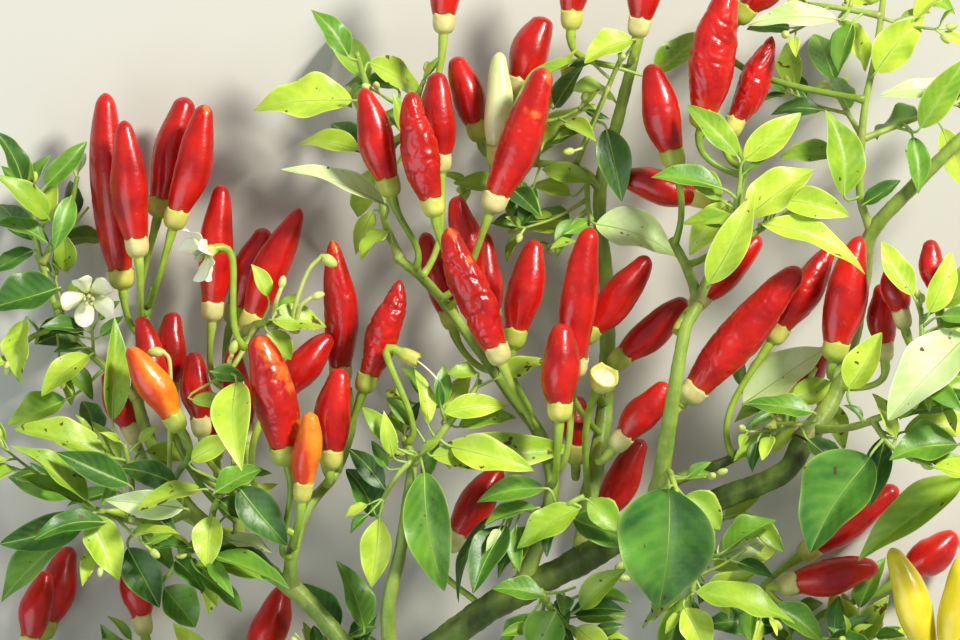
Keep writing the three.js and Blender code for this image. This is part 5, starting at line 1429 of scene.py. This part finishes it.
def rib_skin(plan, rib):
    """The leaf stalk and the midrib as one slim skin: it bends from the twig into the blade, thinner there,
    and sinks into the blade towards the tip."""
    out = unit(plan["foot"] - plan["start"])
    reach = STALK_BEND * np.linalg.norm(plan["foot"] - plan["start"])
    stalk = cubic(plan["start"], plan["start"] + out * reach, plan["foot"] - plan["direction"] * reach,
                  plan["foot"], STEPS_OF_STALK)
    path = np.vstack([stalk[:-1], rib[1:-1:2]])
    place = np.arange(len(path))
    on_stalk = np.clip(place / STEPS_OF_STALK, 0, 1)
    on_blade = np.clip((place - STEPS_OF_STALK) / (len(path) - STEPS_OF_STALK), 0, 1)
    scale = min(1, plan["width"] / FULL_WIDTH) * 0.5 + 0.5
    radius = LEAF_STALK_RADIUS - STALK_THINNING * on_stalk - MIDRIB_THINNING * on_blade**MIDRIB_CURVE
    return dict(rings=skin_round(path, scale * radius, 6))


def egg(t, radius, blunt, narrowing):
    """The radius of an egg at a share t of its length: a half circle's, and narrower towards the end."""
    return radius * np.sqrt(np.clip(1 - (2 * t - 1) ** 2, 0, 1)) * (blunt - narrowing * t)


def bud_skin(plan):
    """A flower bud: an egg on a short stalk, whose radius is the stalk's where that is the greater."""
    t = np.linspace(0, 1, 12)
    length = YOUNG_BUD_SHARE * plan["length"]
    stalk = cubic(plan["start"], (plan["start"] + plan["foot"]) / 2, plan["foot"], plan["foot"], 4)[:-1]
    path = np.vstack([stalk, plan["foot"] + plan["direction"] * length * t[:, None]])
    body = egg(t, YOUNG_BUD_GIRTH * length, *YOUNG_BUD_EGG) + BUD_TIP_RADIUS
    body = np.maximum(body, YOUNG_BUD_STALK_RADIUS * (1 - t))
    radius = np.concatenate([np.full(len(stalk), YOUNG_BUD_STALK_RADIUS), body])
    return dict(rings=skin_round(path, radius, 10))


def leaf_finish(name, shade, light, edge, rare=0.7):
    """Leaf skin: two greens in soft clouds, which are partly the leaf's own mottling and partly painted
    dappled sunlight and shade, paler along the veins and the edge, with brown blots, which are rare but on an
    old leaf."""
    material, shader = new_finish(name, roughness=0.38, gloss=0.42)
    # The clouds of shade and light green are partly painted dappled sunlight and shade.
    greens = ramp(material, noise(material, waves=110), [(0.3, paint(shade)), (0.68, paint(light))])
    veined = mixed(material, value_at(material, "vein"), greens, paint(edge))
    colour = mixed(material, value_at(material, "edge"), veined, paint(edge))
    blots = ramp(material, noise(material, waves=380, detail=2.0), [(rare, BLACK), (rare + 0.04, WHITE)])
    colour_by(material, shader, mixed(material, blots, colour, paint(0x54441E)))
    grain(material, shader, noise(material, waves=1300), height=0.06)
    return material


# Bright (b) and pale (p) are partly painted sunlight, and deep (d) and broad (w) partly painted shade, as
# well as each leaf's own tone.
LEAF_FINISHES = dict(
    d=leaf_finish("leaf_deep", 0x1F4817, 0x42761F, 0x7AA440),
    g=leaf_finish("leaf_green", 0x3C741C, 0x6CA028, 0xA0C050),
    f=leaf_finish("leaf_fresh", 0x65981E, 0x9ABC2E, 0xBED45C),
    b=leaf_finish("leaf_bright", 0x90B820, 0xC0D63C, 0xDAE87A),
    s=leaf_finish("leaf_specked", 0x78A422, 0xA8C436, 0xC6D658, rare=0.62),
    p=leaf_finish("leaf_pale", 0xB0D070, 0xD8E8AC, 0xE8F0C4),
    w=leaf_finish("leaf_broad", 0x2A6024, 0x5A9430, 0x8FB448),
)
LEAF_KINDS = list(LEAF_FINISHES)
KIND_CHANCES = (0.22, 0.26, 0.22, 0.17, 0.1, 0.03, 0)
BROAD = LEAF_KINDS.index("w")
BLADE_SEED = 900
YOUNG_TWIG_SEED = 70
YOUNG_ROW_STEP = 1.6
YOUNG_SIDES = 6
YOUNG_RIDGE = 0.02
SMALL_LEAF = 13
SMALL_LEAF_GRID = (12, 7)
LEAF_GRID = (24, 11)
NAMED_LEAF_GRID = (44, 17)
rib_finish = stem_finish("leaf_rib", dark=0x86A840, light=0xA6C45C, scar=0x9C9A58, roughness=0.42)
bud_finish = stem_finish("bud_skin", dark=0xA9C04C, light=0xD3DA84, scar=0xB4C258, roughness=0.4)

for index, spray in enumerate(SPRAYS):
    draw = np.random.default_rng(BLADE_SEED + index)
    blades, ribs = [], []
    for number, plan in enumerate(spray["planned"]):
        kind = int(draw.choice(len(LEAF_KINDS), p=KIND_CHANCES))
        if number < len(spray["shades"]):
            kind = LEAF_KINDS.index(spray["shades"][number])
        if plan is None:
            continue
        grid = LEAF_GRID if number >= len(spray["leaves"]) else NAMED_LEAF_GRID
        grid = SMALL_LEAF_GRID if plan["length"] < SMALL_LEAF else grid
        shape, folded = (BROAD_SHAPE, BROAD_FOLD) if kind == BROAD else (DRAWN_SHAPE, 1)
        skin, rib = leaf_skin(plan, *grid, draw, shape, folded)
        blades.append(dict(skin, finish=kind))
        ribs.append(rib_skin(plan, rib))
    make_piece(f"{spray['name']}_blades", blades, list(LEAF_FINISHES.values()), "leaf")
    make_piece(f"{spray['name']}_ribs", ribs, [rib_finish], "leaf")
    if spray["young"]:
        twigs = [stem_skin(name, YOUNG_ROW_STEP, YOUNG_SIDES, YOUNG_RIDGE, YOUNG_TWIG_SEED + i)
                 for i, name in enumerate(spray["young"])]
        make_piece(f"{spray['name']}_twigs", twigs, [twig_skin], "green_stem")
    if spray["buds"]:
        buds = [bud_skin(plan) for plan in spray["buds"]]
        make_piece(f"{spray['name']}_buds", buds, [bud_finish], "green_stem")


# Buds on longer stalks of their own, among the flowers on the left. Each stalk leaves its stem, bends over at
# the top and carries a green egg of a bud that nods.
BUD_SIDES = 14
BUD_ROWS = 14
BUD_STALK_RADII = (0.62, 0.5)
BUD_FOOT_RADIUS = 0.55
BUD_GIRTH = 0.32
BUD_EGG = (1.1, 0.25)
BUDS = [
    dict(name="nodding_bud", on="flower_leaves", tip=(-35, 13, 10), length=4.6,
         points=[(-47, -1, 5), (-46, 4, 8), (-43, 12, 10), (-39.5, 16, 10)]),
    dict(name="side_bud", on="flower_leaves", tip=(-39.5, 6.4, 9), length=3.4,
         points=[(-46, -1, 5), (-45, 3, 8), (-43, 5, 9), (-42, 5.6, 9)]),
    dict(name="round_bud", on="flower_leaves", tip=(-49, 11, 9), length=3.2,
         points=[(-52, -1, 4), (-51, 4, 8), (-50, 7, 9), (-49.6, 8, 9)]),
    dict(name="orange_side_bud", on="left_limb", tip=(-83, -8, 3), length=4.2,
         points=[(-77, -38, -9), (-77.5, -24, 0), (-77.5, -11, 3), (-79, -8, 3)]),
    dict(name="low_bud", on="flower_leaves_twig_1", tip=(-61, -5, 9), length=3.6,
         points=[(-63, -14, 6), (-62.5, -10, 8), (-62, -9, 9), (-62, -8.5, 9)]),
]
for bud in BUDS:
    line = stems[bud["on"]]["smooth"]
    points = np.array(bud["points"], float)
    points[0] = line.at(line.nearest(points[0]))
    stalk = trace(points).positions
    direction = unit(np.array(bud["tip"]) - points[-1])
    t = np.linspace(0, 1, BUD_ROWS)
    path = np.vstack([stalk[:-1], points[-1] + direction * bud["length"] * t[:, None]])
    body = egg(t, BUD_GIRTH * bud["length"], *BUD_EGG)
    body = np.maximum(body, BUD_FOOT_RADIUS * (1 - t) + BUD_TIP_RADIUS)
    radius = np.concatenate([np.linspace(*BUD_STALK_RADII, len(stalk) - 1), body])
    make_piece(bud["name"], [dict(rings=skin_round(path, radius, BUD_SIDES))], [bud_finish], "green_stem")


# Flowers. Small and white, nodding on green stalks: a short green calyx, five pointed petals joined at a
# greenish throat, and five pale anthers round the flower's axis.
petal_finish, petal_shader = new_finish("petal", roughness=0.5)
petal_stops = [(0.0, paint(0xB4C866)), (0.25, paint(0xE8ECB8)), (0.8, paint(0xF4F4D6))]
colour_by(petal_finish, petal_shader, ramp(petal_finish, value_at(petal_finish, "along"), petal_stops))
anther_finish = clouded_finish("anther", 0.5, 900, (0.3, 0xA8AC7A), (0.7, 0xC6C890))
PETALS = 5
PETAL_WIDTH = 5.2
PETAL_SHAPE = (1.25, 0.62)
PETAL_GRID = (20, 9)
PETAL_TURN = 0.4
PETAL_SEED = 40
THROAT = 0.8
OPENING = 0.75
FLOWER_CUP = 1.2
FLOWER_SEED = 31
ANTHER_FROM = 0.4
ANTHER_FOOT = 0.5
ANTHER_LENGTH = 3.2
ANTHER_LEAN = 0.7
THREAD_RADIUS = 0.18
ANTHER_RADIUS = 0.2
ANTHER_SWELLING = 0.42


def petal_plan(plan, outward):
    """A petal as a small blade, from the throat out to the rim."""
    axis = plan["direction"]
    depth = np.linalg.norm(plan["tip"] - plan["foot"])
    foot = plan["foot"] + outward * THROAT
    tip = plan["foot"] + outward * plan["girth"] / 2 + axis * depth * OPENING
    direction = unit(tip - foot)
    face = unit(axis - direction * (axis @ direction))
    return dict(foot=foot, tip=tip, width=PETAL_WIDTH, length=np.linalg.norm(tip - foot), direction=direction,
                face=-face, across=np.cross(-face, direction))


def anther_skin(plan, outward):
    """An anther on its thread, which leans out from the throat: thin at first, and then an egg."""
    t = np.linspace(0, 1, 10)[:, None]
    path = (plan["foot"] + plan["direction"] * (ANTHER_FOOT + ANTHER_LENGTH * t)
            + outward * (ANTHER_FOOT + ANTHER_LEAN * t))
    swollen = np.sin(np.pi * np.clip((t[:, 0] - ANTHER_FROM) / (1 - ANTHER_FROM), *NEAR_ENDS))
    radius = np.where(t[:, 0] < ANTHER_FROM, THREAD_RADIUS, ANTHER_RADIUS + ANTHER_SWELLING * swollen)
    return dict(rings=skin_round(path, radius, 8))


def outward_ways(plan, first_turn):
    """The directions square to a flower's axis, evenly round it."""
    axis = plan["direction"]
    first, second = sides_of(np.array([plan["foot"], plan["foot"] + axis, plan["foot"] + 2 * axis]))
    turns = [2 * math.pi * number / PETALS + first_turn for number in range(PETALS)]
    return [first[0] * math.cos(turn) + second[0] * math.sin(turn) for turn in turns]


for cluster in CLUSTERS:
    if cluster.get("flower"):
        name, plan = cluster["name"], cluster["plans"][0]
        draw = np.random.default_rng(PETAL_SEED)
        petals = [leaf_skin(petal_plan(plan, way), *PETAL_GRID, draw, PETAL_SHAPE)[0]
                  for way in outward_ways(plan, PETAL_TURN)]
        make_piece(f"{name}_petals", petals, [petal_finish], "leaf")
        stalk = stalk_skin(dict(plan, girth=plan["width"] * FLOWER_CUP), FLOWER_SEED)
        make_piece(f"{name}_stalk", [stalk], STALK_FINISHES[:1], "green_stem")
        anthers = [anther_skin(plan, way) for way in outward_ways(plan, 0)]
        make_piece(f"{name}_anthers", anthers, [anther_finish], "leaf")


# The studio: a plain pale floor under the branch, one broad soft light from the upper right and behind, as
# the sun stands in the photograph, a weak one opposite, and a camera that looks straight down on the branch
# through a long lens.
FLOOR_HALF = 3
floor_mesh = bpy.data.meshes.new("floor")
floor_corners = [(x * FLOOR_HALF, y * FLOOR_HALF, 0) for x, y in ((-1, -1), (1, -1), (1, 1), (-1, 1))]
floor_mesh.from_pydata(floor_corners, [], [(0, 1, 2, 3)])
floor_finish, floor_shader = new_finish("floor", roughness=0.85)
floor_shader.inputs["Base Color"].default_value = paint(0xC8C7BC)
floor_mesh.materials.append(floor_finish)
add_object("floor", floor_mesh)
LIGHTS_FACE = np.array([0, 0, 0.04])


def soft_light(name, at, size, watts, colour):
    """A square soft light that faces the middle of the branch."""
    lamp = bpy.data.lights.new(name, "AREA")
    lamp.size = size
    lamp.energy = watts
    lamp.color = colour
    light = add_object(name, lamp)
    light.location = at
    aim = LIGHTS_FACE - np.array(at)
    light.rotation_euler = (math.atan2(math.hypot(aim[0], aim[1]), -aim[2]), 0,
                            math.atan2(aim[1], aim[0]) - math.pi / 2)


soft_light("sun_side", at=(0.98, 0.92, 1.22), size=0.32, watts=46, colour=(1.0, 0.96, 0.88))
soft_light("sky_side", at=(-0.9, -0.5, 1.1), size=1.1, watts=9, colour=(0.9, 0.95, 1.0))
world = bpy.context.scene.world or bpy.data.worlds.new("studio")
bpy.context.scene.world = world
world.use_nodes = True
sky = world.node_tree.nodes["Background"]
sky.inputs["Color"].default_value = (0.86, 0.92, 1.0, 1)
sky.inputs["Strength"].default_value = 0.38
bpy.context.scene.view_settings.view_transform = "Standard"

VIEW_WIDTH = 0.24
CAMERA_RISE = 6.0
SENSOR = 36
camera = bpy.data.cameras.new("camera")
camera.sensor_width = SENSOR
camera.lens = SENSOR * CAMERA_RISE / VIEW_WIDTH
camera.clip_start = 1
camera.clip_end = 50
eye = add_object("camera", camera)
eye.location = (BRANCH_AT[0] * MM, BRANCH_AT[1] * MM, BRANCH_AT[2] * MM + CAMERA_RISE)
bpy.context.scene.camera = eye
